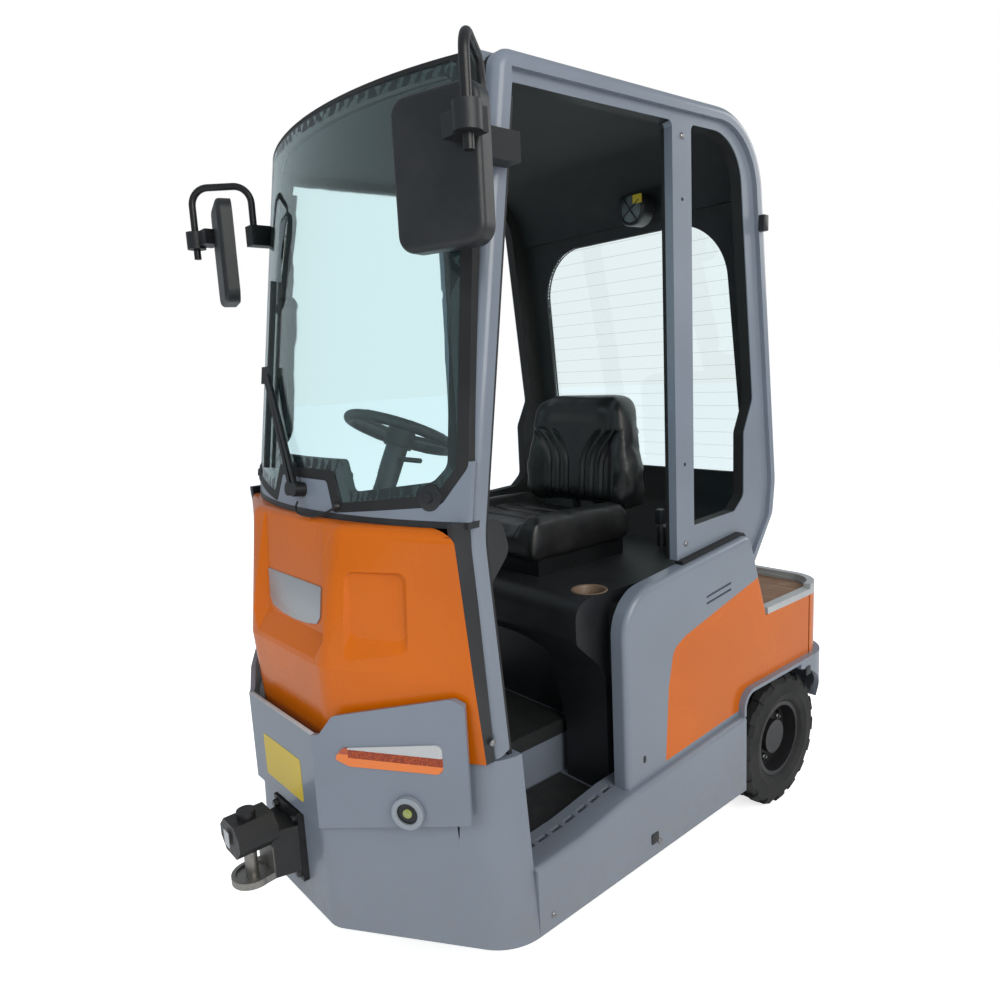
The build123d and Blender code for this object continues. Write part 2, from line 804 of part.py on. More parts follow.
def plate_strip(out_near, out_far):
    """Upright strip along the plate between two distances outwards from its outer face."""
    front = APRON_FRONT + PLATE_T
    fold = math.tan(math.radians(cheek_out.get_angle(Vector(1, 0))) / 2)
    outline = []
    for out in (out_far, out_near):
        end = Vector(PLATE_END_X, PLATE_END_Y) + cheek_out * out
        outline.append([(front + out, PLATE_CREASE_Y + out * fold, 0), (end.X, end.Y, 0)])
    far, near = outline
    left = [far[0], far[1], near[1], near[0]]
    return plan_prism(both_sides(left), FOOT_BAY_LOW, PLATE_EAR_TOP + REACH)


def through_plate(corners):
    """Front-view outline on the left cheek, carried through the plate, and its mirror image."""
    return both(front_prism(corners, APRON_REAR, beyond_front))


LAMP_IN_Y = LAMP_OUT_Y - LAMP_LENGTH
lamp_cut = through_plate([
    (LAMP_IN_Y, LAMP_LOW + LAMP_TIP_RISE, LAMP_R),
    (LAMP_IN_Y + LAMP_SHOULDER, LAMP_LOW + LAMP_SHOULDER_RISE, LAMP_R),
    (LAMP_OUT_Y, LAMP_TOP, LAMP_END_R),
    (LAMP_OUT_Y, LAMP_LOW, LAMP_END_R),
    (LAMP_IN_Y + LAMP_KEEL, LAMP_LOW - LAMP_KEEL_DROP, LAMP_R),
])
plate_edge = PLATE_END_Y + PLATE_T / 2
plate_cut = front_prism(both_halves([
    (PLATE_CREASE_Y + PLATE_RISE_RUN, PLATE_CENTRE_TOP, LAMP_END_R),
    (PLATE_EAR_IN, PLATE_EAR_LOW, PLATE_CORNER_R),
    (PLATE_END_Y - PLATE_EAR_SLANT, PLATE_EAR_TOP, PLATE_CORNER_R),
    (plate_edge, PLATE_EAR_TOP - PLATE_EAR_DROP, PLATE_CORNER_R),
    (plate_edge, PLATE_REAR_LOW, PLATE_CORNER_R),
    (PLATE_CREASE_Y, PLATE_LOW, PLATE_CORNER_R),
]), APRON_REAR, beyond_front)
bumper_plate = (plate_strip(-PLATE_T, 0) & plate_cut) - lamp_cut
boss_x = APRON_FRONT + PLATE_T + (BOSS_Y - PLATE_CREASE_Y) * cheek.X / cheek.Y
boss_plane = Plane(origin=(boss_x, BOSS_Y, BOSS_Z), z_dir=(cheek_out.X, cheek_out.Y, 0))
boss = extrude(boss_plane * Circle(BOSS_R), amount=BOSS_HEIGHT)
boss -= extrude(boss_plane.offset(BOSS_HEIGHT - BOSS_SINK) * Circle(BOSS_R - BOSS_RING), amount=BOSS_HEIGHT)
bumper_plate += both(boss)
lamp_guide = block(APRON_REAR, beyond_front, 0, LAMP_IN_Y + GUIDE_END, FOOT_BAY_LOW, LAMP_TOP)
lamp_guide += block(APRON_REAR, beyond_front, 0, HALF_WIDTH, FOOT_BAY_LOW, LAMP_LOW + GUIDE_T)
lamp_front = plate_strip(-PLATE_T / 2, LAMP_PROUD) & lamp_cut
lamp_housings = (plate_strip(-PLATE_T, -PLATE_T / 2) & lamp_cut) + (lamp_front & both(lamp_guide))
lamp_lenses = lamp_front - both(lamp_guide)


# Hood: a lofted shell with a sunk central face between two ridges and a dent in each cheek.
def nose_plan(rear_x, front_x, cheek_width, inset, back):
    half = NOSE_REAR_Y - cheek_width
    outline = [
        (rear_x, NOSE_REAR_Y - inset, 0),
        (front_x - inset, half - inset / 3, NOSE_R - inset),
    ]
    if back:
        outline.insert(0, (rear_x - back, NOSE_REAR_Y - inset, 0))
    return corner_face(both_sides(outline))


def nose_body(inset, back):
    section_table = (
        (APRON_TOP, NOSE_REAR_X_LOW, NOSE_FRONT_LOW, NOSE_CHEEK_LOW),
        (NOSE_WAIST, NOSE_REAR_X_WAIST, NOSE_FRONT_WAIST, NOSE_CHEEK_WAIST),
        (NOSE_TOP - inset, NOSE_REAR_X_TOP, NOSE_FRONT_TOP, NOSE_CHEEK_TOP),
    )
    sections = []
    for height, rear_x, front_x, cheek_width in section_table:
        sections.append(Pos(0, 0, height) * nose_plan(rear_x, front_x, cheek_width, inset, back))
    return loft(sections, ruled=True)


def upper(low, high, z):
    """Value at a height of the hood's upper part, from its values at the waist and the top."""
    return low + (high - low) * (z - NOSE_WAIST) / (NOSE_TOP - NOSE_WAIST)


def nose_front(z):
    return upper(NOSE_FRONT_WAIST, NOSE_FRONT_TOP, z)


def face_pocket(grow):
    """Central face, deepest at its ledge and running out at the top, with sloped side walls."""
    sections = []
    for side, step_out in ((-1, True), (-1, False), (1, False), (1, True)):
        shift = FACE_DEPTH if step_out else 0
        across = side * (FACE_HALF + grow + (FACE_WALL_RUN if step_out else 0))
        profile = corner_face([
            (nose_front(FACE_LEDGE_LOW) - grow + shift, FACE_LEDGE_LOW - grow, 0),
            (beyond_front, FACE_LEDGE_LOW - grow, 0),
            (beyond_front, NOSE_TOP + FACE_DEPTH, 0),
            (nose_front(NOSE_TOP + FACE_DEPTH) - grow + shift, NOSE_TOP + FACE_DEPTH, 0),
            (nose_front(FACE_LEDGE_TOP) - FACE_DEPTH - grow + shift, FACE_LEDGE_TOP, 0),
        ])
        sections.append(Plane((0, across, 0), x_dir=(1, 0, 0), z_dir=(0, -1, 0)) * profile)
    return loft(sections, ruled=True)


def cheek_point(along, z):
    """Point on the hood's left cheek, at a distance behind its front corner."""
    front = Vector(nose_front(z), NOSE_REAR_Y - upper(NOSE_CHEEK_WAIST, NOSE_CHEEK_TOP, z), z)
    rear = Vector(upper(NOSE_REAR_X_WAIST, NOSE_REAR_X_TOP, z), NOSE_REAR_Y, z)
    return front + (rear - front).normalized() * along


def dent_face(along_inset, low_inset, top_inset):
    half_length = DENT_LENGTH / 2 - along_inset
    low = (DENT_LOW - DENT_TOP) / 2 + low_inset
    high = (DENT_TOP - DENT_LOW) / 2 - top_inset
    return corner_face([
        (-half_length, low, DENT_R),
        (half_length, low, DENT_R),
        (half_length, high, DENT_R),
        (-half_length, high, DENT_R),
    ])


dent_middle = DENT_FROM_RIDGE + DENT_LENGTH / 2
dent_z = (DENT_LOW + DENT_TOP) / 2
dent_along = cheek_point(dent_middle + DENT_LENGTH, dent_z) - cheek_point(dent_middle, dent_z)
dent_up = cheek_point(dent_middle, DENT_TOP) - cheek_point(dent_middle, DENT_LOW)
dent_plane = Plane(cheek_point(dent_middle, dent_z), x_dir=dent_along, z_dir=dent_along.cross(dent_up))


def dent_pocket(grow):
    opening = dent_plane.offset(DENT_WALL_RUN - grow) * dent_face(-DENT_WALL_RUN, -DENT_LIP_RUN, -DENT_WALL_RUN)
    floor = dent_plane.offset(-DENT_DEPTH - grow) * dent_face(DENT_WALL_RUN - grow, DENT_LIP_RUN - grow, -grow)
    return both(loft([opening, floor], ruled=True))


nose_outer = nose_body(0, 0)
nose_rim = [
    edge for edge in nose_outer.edges()
    if edge.center().Z > NOSE_TOP - 1 and edge.center().X > NOSE_REAR_X_TOP + 1
]
nose_outer = fillet(nose_rim, NOSE_EDGE_R) - face_pocket(0) - dent_pocket(0)
nose_inner = nose_body(NOSE_WALL, REACH) - face_pocket(NOSE_WALL) - dent_pocket(NOSE_WALL)
nose_cover = nose_outer - nose_inner

# Cab side: pillars, roof rail and quarter plate in one welded frame with a raised outer bead.
rear_slope = (ROOF_REAR_X - WAIST_REAR_X) / (ROOF_Z - WAIST_REAR_Z)
roof_slope = (ROOF_FRONT_Z - ROOF_Z) / (PILLAR_TOP_X - ROOF_REAR_X)
pillar_slope = (PILLAR_TOP_X - PILLAR_KNEE_X) / (ROOF_FRONT_Z - PILLAR_KNEE_Z)
flank_top_slope = (FLANK_REAR_TOP - FLANK_FRONT_TOP) / (FLANK_REAR_TOP_X - FLANK_FRONT)
tail_slope = (FLANK_REAR_TOP_X - FLANK_TAIL_X) / (FLANK_REAR_TOP - DECK_Z)


def flank_top(x):
    return FLANK_FRONT_TOP + flank_top_slope * (x - FLANK_FRONT)


def flank_tail(z):
    return FLANK_TAIL_X + tail_slope * (z - DECK_Z)


def rear_line(z):
    return WAIST_REAR_X + rear_slope * (z - WAIST_REAR_Z)


def roof_line(x):
    return ROOF_Z + roof_slope * (x - ROOF_REAR_X)


def rail_low(x):
    return roof_line(x) - RAIL_DEPTH


def pillar_front(z):
    return PILLAR_KNEE_X + pillar_slope * (z - PILLAR_KNEE_Z)


cab_foot_z = flank_top(B_PILLAR_FRONT) + TRIM_T
cab_tail_z = FLANK_REAR_TOP + TRIM_T
door_top_x = pillar_front(rail_low(PILLAR_TOP_X)) - PILLAR_W
cab_side = side_prism([
    (PILLAR_FOOT_X, APRON_TOP, 0),
    (PILLAR_KNEE_X, PILLAR_KNEE_Z, PILLAR_KNEE_R),
    (PILLAR_TOP_X, ROOF_FRONT_Z, PILLAR_TOP_R),
    (ROOF_REAR_X, ROOF_Z, ROOF_REAR_R),
    (WAIST_REAR_X, WAIST_REAR_Z, WAIST_R),
    (HIP_X, HIP_Z, HIP_R),
    (flank_tail(TAIL_TIP_Z) - TRIM_T, TAIL_TIP_Z, 0),
    (FLANK_REAR_TOP_X, cab_tail_z, FLANK_REAR_R),
    (B_PILLAR_FRONT, cab_foot_z, 0),
], CAB_IN, CAB_OUT)
bead_edges = [
    edge for edge in cab_side.edges()
    if edge.center().Y > CAB_OUT - 1
    and (edge.center().Z > cab_tail_z or edge.center().X > APRON_REAR)
]
cab_side = fillet(bead_edges, BEAD_R)
cab_side -= side_prism([
    (B_PILLAR_FRONT, FLOOR_Z, 0),
    (PILLAR_FOOT_X - PILLAR_W, FLOOR_Z, 0),
    (PILLAR_FOOT_X - PILLAR_W, APRON_TOP, 0),
    (PILLAR_KNEE_X - PILLAR_W, PILLAR_KNEE_Z, PILLAR_KNEE_R),
    (door_top_x, rail_low(door_top_x), RAIL_R),
    (B_PILLAR_FRONT, rail_low(B_PILLAR_FRONT), RAIL_R),
], 0, beyond_side)
cab_side -= side_prism([
    (B_PILLAR_REAR, QUARTER_LOW, QUARTER_FOOT_R),
    (QUARTER_CORNER_X, QUARTER_LOW + QUARTER_FALL, QUARTER_FOOT_R),
    (QUARTER_REAR_X, QUARTER_REAR_Z, QUARTER_R),
    (QUARTER_REAR_X, QUARTER_STEP_Z, QUARTER_R),
    (QUARTER_PILLAR_X, QUARTER_PILLAR_Z, QUARTER_R),
    (QUARTER_TOP_X, rail_low(QUARTER_TOP_X), QUARTER_TOP_R),
    (B_PILLAR_REAR, rail_low(B_PILLAR_REAR), RAIL_R),
], 0, beyond_side)
cab_side -= side_prism([
    (door_top_x, roof_line(door_top_x) - BEAD_W, 0),
    (ROOF_REAR_X + BEAD_W, ROOF_Z - BEAD_W, ROOF_REAR_R - BEAD_W),
    (WAIST_REAR_X + BEAD_W, WAIST_REAR_Z, WAIST_R),
    (HIP_X + BEAD_W, HIP_Z, HIP_R),
    (flank_tail(TAIL_TIP_Z) + BEAD_W, TAIL_TIP_Z, 0),
    (door_top_x, TAIL_TIP_Z, 0),
], CAB_OUT - BEAD_PROUD, beyond_side)
for hole_z in (DOOR_HOLE_LOW, DOOR_HOLE_HIGH):
    cab_side -= cross_rod(DOOR_HOLE_X, hole_z, DOOR_HOLE_R, CAB_OUT - BEAD_PROUD - DOOR_HOLE_DEPTH, CAB_OUT)
cab_side_right = mirror(cab_side, about=Plane.XZ)
seal_foot_x = PILLAR_FOOT_X - PILLAR_W
seal_knee_x = PILLAR_KNEE_X - PILLAR_W
seal_share = 1 - 2 * RAIL_R / (rail_low(door_top_x) - PILLAR_KNEE_Z)
seal_top_x = seal_knee_x + (door_top_x - seal_knee_x) * seal_share
seal_top_z = rail_low(door_top_x) - 2 * RAIL_R
door_seals = pair(side_prism([
    (seal_foot_x, APRON_TOP, 0),
    (seal_knee_x, PILLAR_KNEE_Z, PILLAR_KNEE_R),
    (seal_top_x, seal_top_z, 0),
    (seal_top_x - DOOR_SEAL_T, seal_top_z, 0),
    (seal_knee_x - DOOR_SEAL_T, PILLAR_KNEE_Z, PILLAR_KNEE_R),
    (seal_foot_x - DOOR_SEAL_T, APRON_TOP, 0),
], CAB_IN + DOOR_SEAL_INSET, CAB_OUT - DOOR_SEAL_INSET))

# Roof, liner and rear wall between the two cab sides.
roof_rear_z = ROOF_Z - ROOF_REAR_R
roof_front_x = ROOF_FRONT_MID + ROOF_T
deck_top = DECK_Z + DECK_T


def front_arc_prism(mid_x):
    """Everything behind the curved front edge of the roof."""
    edge_x = mid_x - SCREEN_R + math.sqrt(SCREEN_R ** 2 - CAB_OUT ** 2)
    outline = [
        ThreePointArc((edge_x, -CAB_OUT), (mid_x, 0), (edge_x, CAB_OUT)),
        Polyline((edge_x, CAB_OUT), (0, CAB_OUT), (0, -CAB_OUT), (edge_x, -CAB_OUT)),
    ]
    return extrude(Pos(0, 0, WINDOW_LOW) * make_face(outline), amount=WINDOW_LOW, dir=(0, 0, 1))


def roof_skin(depth, thickness):
    """Sheet under the roof's outer face, bent down at the rear."""
    deep = depth + thickness
    return side_prism([
        (roof_front_x, roof_line(roof_front_x) - depth, 0),
        (ROOF_REAR_X + depth, ROOF_Z - depth, ROOF_REAR_R - depth),
        (rear_line(roof_rear_z) + depth, roof_rear_z, 0),
        (rear_line(roof_rear_z) + deep, roof_rear_z, 0),
        (ROOF_REAR_X + deep, ROOF_Z - deep, ROOF_REAR_R - deep),
        (roof_front_x, roof_line(roof_front_x) - deep, 0),
    ], -CAB_IN, CAB_IN)


cab_roof = roof_skin(0, ROOF_T) & front_arc_prism(ROOF_FRONT_MID)
roof_liner = roof_skin(ROOF_T, LINER_T) & front_arc_prism(ROOF_FRONT_MID - LINER_SETBACK)
rear_wall = side_prism([
    (rear_line(roof_rear_z), roof_rear_z, 0),
    (WAIST_REAR_X, WAIST_REAR_Z, WAIST_R),
    (HIP_X, HIP_Z, HIP_R),
    (flank_tail(TAIL_TIP_Z), TAIL_TIP_Z, 0),
    (FLANK_TAIL_X, deck_top, 0),
    (FLANK_TAIL_X + WALL_T, deck_top, 0),
    (flank_tail(TAIL_TIP_Z) + WALL_T, TAIL_TIP_Z, 0),
    (HIP_X + WALL_T, HIP_Z + WALL_T / 3, HIP_R - WALL_T),
    (WAIST_REAR_X + WALL_T, WAIST_REAR_Z, WAIST_R - WALL_T),
    (rear_line(roof_rear_z) + WALL_T, roof_rear_z, 0),
], -CAB_IN, CAB_IN)
window_cut = front_prism(both_halves([
    (WINDOW_HALF_LOW, WINDOW_LOW, WINDOW_LOW_R),
    (WINDOW_HALF_TOP, WINDOW_TOP, WINDOW_TOP_R),
]), REAR_END, B_PILLAR_REAR)
rear_wall -= window_cut
pane_in = PANE_INSET + PANE_T
rear_window = side_prism([
    (rear_line(WINDOW_TOP) + PANE_INSET, WINDOW_TOP, 0),
    (rear_line(WINDOW_LOW) + PANE_INSET, WINDOW_LOW, 0),
    (rear_line(WINDOW_LOW) + pane_in, WINDOW_LOW, 0),
    (rear_line(WINDOW_TOP) + pane_in, WINDOW_TOP, 0),
], -CAB_IN, CAB_IN) & window_cut

# Windscreen, its seal and the cowl below, all parts of one leaning arc.
screen_sag = SCREEN_R - math.sqrt(SCREEN_R ** 2 - CAB_OUT ** 2)
screen_centre_x = PILLAR_KNEE_X + screen_sag - SCREEN_R


def screen_strip(out_near, out_far):
    """Leaning curved strip between two distances in front of the windscreen's inner face."""
    arcs = []
    for out in (out_far, out_near):
        radius = SCREEN_R + out
        edge_x = screen_centre_x + math.sqrt(radius ** 2 - CAB_OUT ** 2)
        arcs.append(((edge_x, -CAB_OUT), (screen_centre_x + radius, 0), (edge_x, CAB_OUT)))
    far, near = arcs
    outline = [
        ThreePointArc(*far),
        Line(far[2], near[2]),
        ThreePointArc(near[2], near[1], near[0]),
        Line(near[0], far[0]),
    ]
    lean = Vector(pillar_slope, 0, 1)
    height = ROOF_Z - PILLAR_KNEE_Z
    start = Pos(0, 0, PILLAR_KNEE_Z) * make_face(outline)
    return extrude(start, amount=height * lean.length, dir=lean.normalized())


def screen_cut(grow, rise):
    """Windscreen outline, grown all round and raised at the top."""
    return front_prism(both_halves([
        (SCREEN_NOTCH_TOP_HALF - grow, SCREEN_NOTCH_Z - grow, SCREEN_R_LOW),
        (SCREEN_NOTCH_HALF - grow, SCREEN_LOW - grow, SCREEN_R_LOW),
        (SCREEN_FOOT_HALF + grow / 2, SCREEN_FOOT_Z - grow, SCREEN_R_SIDE),
        (SCREEN_HALF_LOW + grow, SCREEN_SIDE_Z, SCREEN_R_SIDE),
        (SCREEN_HALF_TOP + grow, SCREEN_TOP + rise, SCREEN_R_SIDE),
    ]), beyond_rear, beyond_front)


def front_band(z_low, z_high):
    return block(beyond_rear, beyond_front, -CAB_OUT, CAB_OUT, z_low, z_high)


cowl_low = NOSE_TOP + SEAL_BAND
windscreen = screen_strip(0, SCREEN_T) & screen_cut(0, 0)
seal_outer = screen_cut(SEAL_W, SEAL_LAP)
windscreen_seal = screen_strip(-SEAL_DEPTH, SCREEN_T) & (seal_outer - screen_cut(-SEAL_W, -SEAL_W))
windscreen_seal = windscreen_seal - windscreen - cab_side - cab_side_right - cab_roof - roof_liner
cowl_panel = screen_strip(-COWL_LAP, SCREEN_T) & front_band(cowl_low, COWL_TOP)
cowl_panel = cowl_panel - seal_outer - cab_side - cab_side_right

# Dark trim between hood, cowl and pillars.
side_trim = side_prism([
    (PILLAR_FOOT_X, APRON_TOP, 0),
    (NOSE_REAR_X_LOW, APRON_TOP, 0),
    (NOSE_REAR_X_WAIST, NOSE_WAIST, 0),
    (NOSE_REAR_X_TOP, NOSE_TOP, 0),
    (NOSE_REAR_X_TOP, cowl_low, 0),
    (pillar_front(cowl_low), cowl_low, 0),
], NOSE_REAR_Y - SEAL_DEPTH, NOSE_REAR_Y)
nose_seal = both(side_trim) + (screen_strip(-SEAL_W, SCREEN_T) & front_band(NOSE_TOP, cowl_low))
nose_seal = nose_seal - cab_side - cab_side_right

# Side panels with their inlays and vents, and the trim between them and the cab.
ledge_slope = (LEDGE_REAR_Z - LEDGE_BEND_Z) / (ARCH_FRONT - LEDGE_BEND_X)
lip_top = ARCH_Z + LIP_T
lip_front = ARCH_FRONT + LIP_T


def ledge_z(x):
    return LEDGE_BEND_Z + ledge_slope * (x - LEDGE_BEND_X)


flank = side_prism([
    (FLANK_FRONT, ledge_z(FLANK_FRONT), 0),
    (FLANK_FRONT, FLANK_FRONT_TOP, FLANK_FRONT_R),
    (FLANK_REAR_TOP_X, FLANK_REAR_TOP, FLANK_REAR_R),
    (FLANK_TAIL_X, DECK_Z, 0),
    (FLANK_END, DECK_Z, 0),
    (FLANK_END, lip_top, 0),
    (lip_front, lip_top, LIP_R),
    (lip_front, ledge_z(lip_front), 0),
], FLANK_IN, FLANK_OUT)
flank_edges = [
    edge for edge in flank.edges()
    if edge.center().Y > FLANK_OUT - 1
    and (edge.center().Z > DECK_Z + 1 or edge.center().X > FLANK_FRONT - 1)
]
flank = fillet(flank_edges, FLANK_EDGE_R)
inlay = flank & side_prism([
    (INLAY_FOOT_X, ledge_z(INLAY_FOOT_X) + INLAY_FOOT_RISE, 0),
    (INLAY_KNEE_X, INLAY_KNEE_Z, INLAY_KNEE_R),
    (INLAY_HIP_X, INLAY_HIP_Z, INLAY_HIP_R),
    (INLAY_TOP_X, INLAY_TOP_Z, INLAY_TOP_R),
    (flank_tail(INLAY_TAIL_Z) - FLANK_EDGE_R, INLAY_TAIL_Z, 0),
    (FLANK_END, INLAY_TAIL_Z, 0),
    (FLANK_END, lip_top, 0),
    (lip_front, lip_top, LIP_R),
    (lip_front, ledge_z(lip_front) + INLAY_FOOT_RISE, 0),
], FLANK_OUT - INLAY_DEPTH, FLANK_OUT)
flank -= inlay
for vent_z in VENT_FRONT_Z:
    vent_rear = VENT_FRONT_X - VENT_LENGTH
    flank -= side_prism([
        (VENT_FRONT_X, vent_z, 0),
        (VENT_FRONT_X, vent_z + VENT_T, 0),
        (vent_rear, vent_z + VENT_RISE + VENT_T, 0),
        (vent_rear, vent_z + VENT_RISE, 0),
    ], FLANK_OUT - VENT_DEPTH, FLANK_OUT)
flank_panels = pair(flank)
flank_inlays = pair(inlay)
flank_trims = pair(side_prism([
    (B_PILLAR_FRONT, flank_top(B_PILLAR_FRONT), 0),
    (B_PILLAR_FRONT, cab_foot_z, 0),
    (FLANK_REAR_TOP_X, cab_tail_z, FLANK_REAR_R),
    (flank_tail(TAIL_TIP_Z) - TRIM_T, TAIL_TIP_Z, 0),
    (flank_tail(TAIL_TIP_Z), TAIL_TIP_Z, 0),
    (FLANK_REAR_TOP_X, FLANK_REAR_TOP, FLANK_REAR_R),
], FLANK_IN, FLANK_IN + TRIM_W))


# Tail: cover, deck, rim and bumper, each a plan form with two rounded rear corners.
def tail_plan(half, rear, front, corner_r):
    return [(front, half, 0), (rear, half, corner_r), (rear, -half, corner_r), (front, -half, 0)]


def tail_ring(half, rear, front, corner_r, wall, z_low, z_high):
    outer = plan_prism(tail_plan(half, rear, front, corner_r), z_low, z_high)
    inner = tail_plan(half - wall, rear + wall, front + wall, corner_r - wall)
    return outer - plan_prism(inner, z_low, z_high)


cover_end = REAR_END + COVER_INSET
cover_r = TAIL_R - COVER_INSET
rim_w = FLANK_OUT - RIM_IN
rear_cover = tail_ring(FLANK_OUT, cover_end, FLANK_END - COVER_GAP, cover_r, COVER_WALL, lip_top, DECK_Z)
deck_rim = tail_ring(FLANK_OUT, cover_end, FLANK_TAIL_X, cover_r, rim_w, DECK_Z, DECK_Z + RIM_HEIGHT)
deck_rim += tail_ring(FLANK_OUT, cover_end, cover_end + cover_r, cover_r, RIM_BOARD_T, DECK_Z, DECK_Z + RIM_BOARD)
rear_deck = plan_prism(tail_plan(RIM_IN, cover_end + rim_w, FLANK_TAIL_X, cover_r - rim_w), DECK_Z, deck_top)
wheel_room = cross_rod(0, REAR_TYRE_R, REAR_TYRE_R + WHEEL_ROOM, -beyond_side, beyond_side)
rear_bumper = tail_ring(HALF_WIDTH, REAR_END, BUMPER_FRONT, TAIL_R, BUMPER_T, BUMPER_LOW, lip_top)
rear_bumper -= wheel_room
rear_bumper += tail_ring(HALF_WIDTH, REAR_END, BUMPER_FRONT, TAIL_R, LIP_W, ARCH_Z, lip_top)
rear_bumper += both(side_prism([
    (BUMPER_FRONT - LIP_T, lip_top, 0),
    (lip_front, lip_top, LIP_R),
    (lip_front, ledge_z(lip_front), 0),
    (ARCH_FRONT, LEDGE_REAR_Z, 0),
    (ARCH_FRONT, ARCH_Z, LIP_R - LIP_T),
    (BUMPER_FRONT - LIP_T, ARCH_Z, 0),
], HALF_WIDTH - LIP_W, HALF_WIDTH))
tail_lamp_out = TAIL_LAMP_IN + TAIL_LAMP_W
tail_lamp_top = TAIL_LAMP_LOW + TAIL_LAMP_H
tail_lamp_x = REAR_END - TAIL_LAMP_T
tail_lamps = pair(block(tail_lamp_x, REAR_END, TAIL_LAMP_IN, tail_lamp_out, TAIL_LAMP_LOW, tail_lamp_top))
liner_out = subframe_half + LINER_WALL
fender_liner = block(subframe_rear, ARCH_FRONT, subframe_half, liner_out, LINER_LOW, ARCH_Z)
arch_end = HALF_WIDTH - LIP_W
fender_liner += block(REAR_END + TAIL_R, ARCH_FRONT, subframe_half, arch_end, ARCH_Z, ARCH_Z + LINER_WALL)
fender_liners = pair(fender_liner)

# Console over the battery, with a knee recess in front and a cup recess on top.
seat_console = side_prism([
    (CONSOLE_FRONT, STEP_Z, 0),
    (CONSOLE_FRONT, CONSOLE_HIP_Z, CONSOLE_HIP_R),
    (CONSOLE_NOSE, CONSOLE_NOSE_Z, CONSOLE_NOSE_R),
    (CONSOLE_NOSE, CONSOLE_TOP, CONSOLE_TOP_R),
    (CONSOLE_REAR, CONSOLE_TOP, 0),
    (CONSOLE_REAR, BATTERY_TOP, 0),
    (FLOOR_REAR, BATTERY_TOP, 0),
    (FLOOR_REAR, STEP_Z, 0),
], -SILL_IN, SILL_IN)
console_end = CONSOLE_NOSE + REACH
seat_console -= front_prism(both_halves([
    (KNEE_HALF_LOW, SKIRT_BOTTOM, 0),
    (KNEE_HALF_LOW, FLOOR_Z, KNEE_R),
    (KNEE_HALF_TOP, KNEE_TOP, KNEE_R),
]), CONSOLE_BACK_X, console_end)
seat_console -= block(BATTERY_FRONT, console_end, -TUNNEL_HALF, TUNNEL_HALF, 0, FLOOR_Z)
seat_console += both(block(CONSOLE_REAR, SHOULDER_FRONT, SILL_IN, FLANK_IN, BATTERY_TOP, SHOULDER_TOP))
seat_console -= post(CUP_X, CUP_Y, CUP_R, CONSOLE_TOP - CUP_DEPTH, CONSOLE_TOP + CUP_DEPTH)
slide_half = SEAT_HALF - SLIDE_INSET
slide_rear = SEAT_REAR + SLIDE_INSET
slide_front = SEAT_FRONT - SLIDE_FRONT
seat_base = block(slide_rear, slide_front, -slide_half, slide_half, CONSOLE_TOP, SEAT_LOW)
seat_cushion = side_prism([
    (SEAT_REAR + SEAT_GAP, SEAT_LOW, SEAT_R),
    (SEAT_FRONT, SEAT_LOW, SEAT_R),
    (SEAT_FRONT, SEAT_TOP, SEAT_FRONT_R),
    (SEAT_REAR + SEAT_GAP, SEAT_TOP - SEAT_FALL, SEAT_R),
], -SEAT_HALF, SEAT_HALF)
back_foot_z = BACK_LOW - BACK_FOOT
back_belly_z = BACK_LOW + BACK_FOOT
seat_back = side_prism([
    (SEAT_REAR + SEAT_GAP - 1, back_foot_z, 0),
    (SEAT_REAR + SEAT_GAP - 1, BACK_LOW + SEAT_GAP, 0),
    (SEAT_REAR + BACK_BELLY, back_belly_z, 0),
    (SEAT_REAR + BACK_BELLY - BACK_LEAN, BACK_TOP, BACK_R),
    (SEAT_REAR - BACK_T, BACK_TOP, BACK_R),
    (SEAT_REAR - STRUT_T, back_foot_z, 0),
], -SEAT_HALF, SEAT_HALF)
seat_back &= front_prism(both_halves([
    (SEAT_HALF - SEAT_GAP, back_foot_z, SEAT_R),
    (SEAT_HALF, BACK_LOW + BACK_SIDE_R, BACK_SIDE_R),
    (SEAT_HALF - BACK_TOP_INSET, BACK_TOP, BACK_TOP_R),
]), 0, WHEELBASE)
strut_rear = SEAT_REAR - STRUT_T
seat_back += block(strut_rear, SEAT_REAR, -STRUT_HALF, STRUT_HALF, CONSOLE_TOP, BACK_LOW)

# Dashboard, knee panel, display, steering column with its lever, wheel and pedals.
dashboard = side_prism([
    (FOOT_BAY_FRONT, DASH_LOW, 0),
    (FOOT_BAY_FRONT, DASH_BELLY_Z, 0),
    (DASH_TOP_X, DASH_STEP_Z, 0),
    (DASH_TOP_X, DASH_TOP_Z, DASH_R / 2),
    (DASH_LIP_X, DASH_LIP_Z, DASH_R),
    (DASH_REAR, DASH_BELLY_Z, DASH_R),
    (DASH_KNEE_X, DASH_LOW, DASH_R),
], -DASH_HALF, DASH_HALF)
knee_face = FOOT_BAY_FRONT - PLATE
dashboard += block(knee_face, FOOT_BAY_FRONT, -KNEE_PANEL_HALF, KNEE_PANEL_HALF, apron_under, DASH_LOW + PLATE)
dashboard += side_prism([
    (POD_X, DASH_LIP_Z, 0),
    (POD_X + POD_T, DASH_LIP_Z, 0),
    (POD_X + POD_T - POD_LEAN, POD_TOP, POD_R),
    (POD_X - POD_LEAN, POD_TOP, POD_R),
], POD_Y - POD_HALF, POD_Y + POD_HALF)
steer_tilt = math.radians(STEER_TILT)
steer_axis = Vector(-math.sin(steer_tilt), 0, math.cos(steer_tilt))
steer_plane = Plane(origin=(STEER_X, 0, STEER_Z), x_dir=(0, 1, 0), z_dir=steer_axis)
steering_wheel = steer_plane * Torus(STEER_R, STEER_TUBE_R)
steering_wheel += extrude(steer_plane.offset(-STEER_HUB_DROP) * Circle(STEER_HUB_R), amount=STEER_HUB_DROP + SPOKE_DROP)
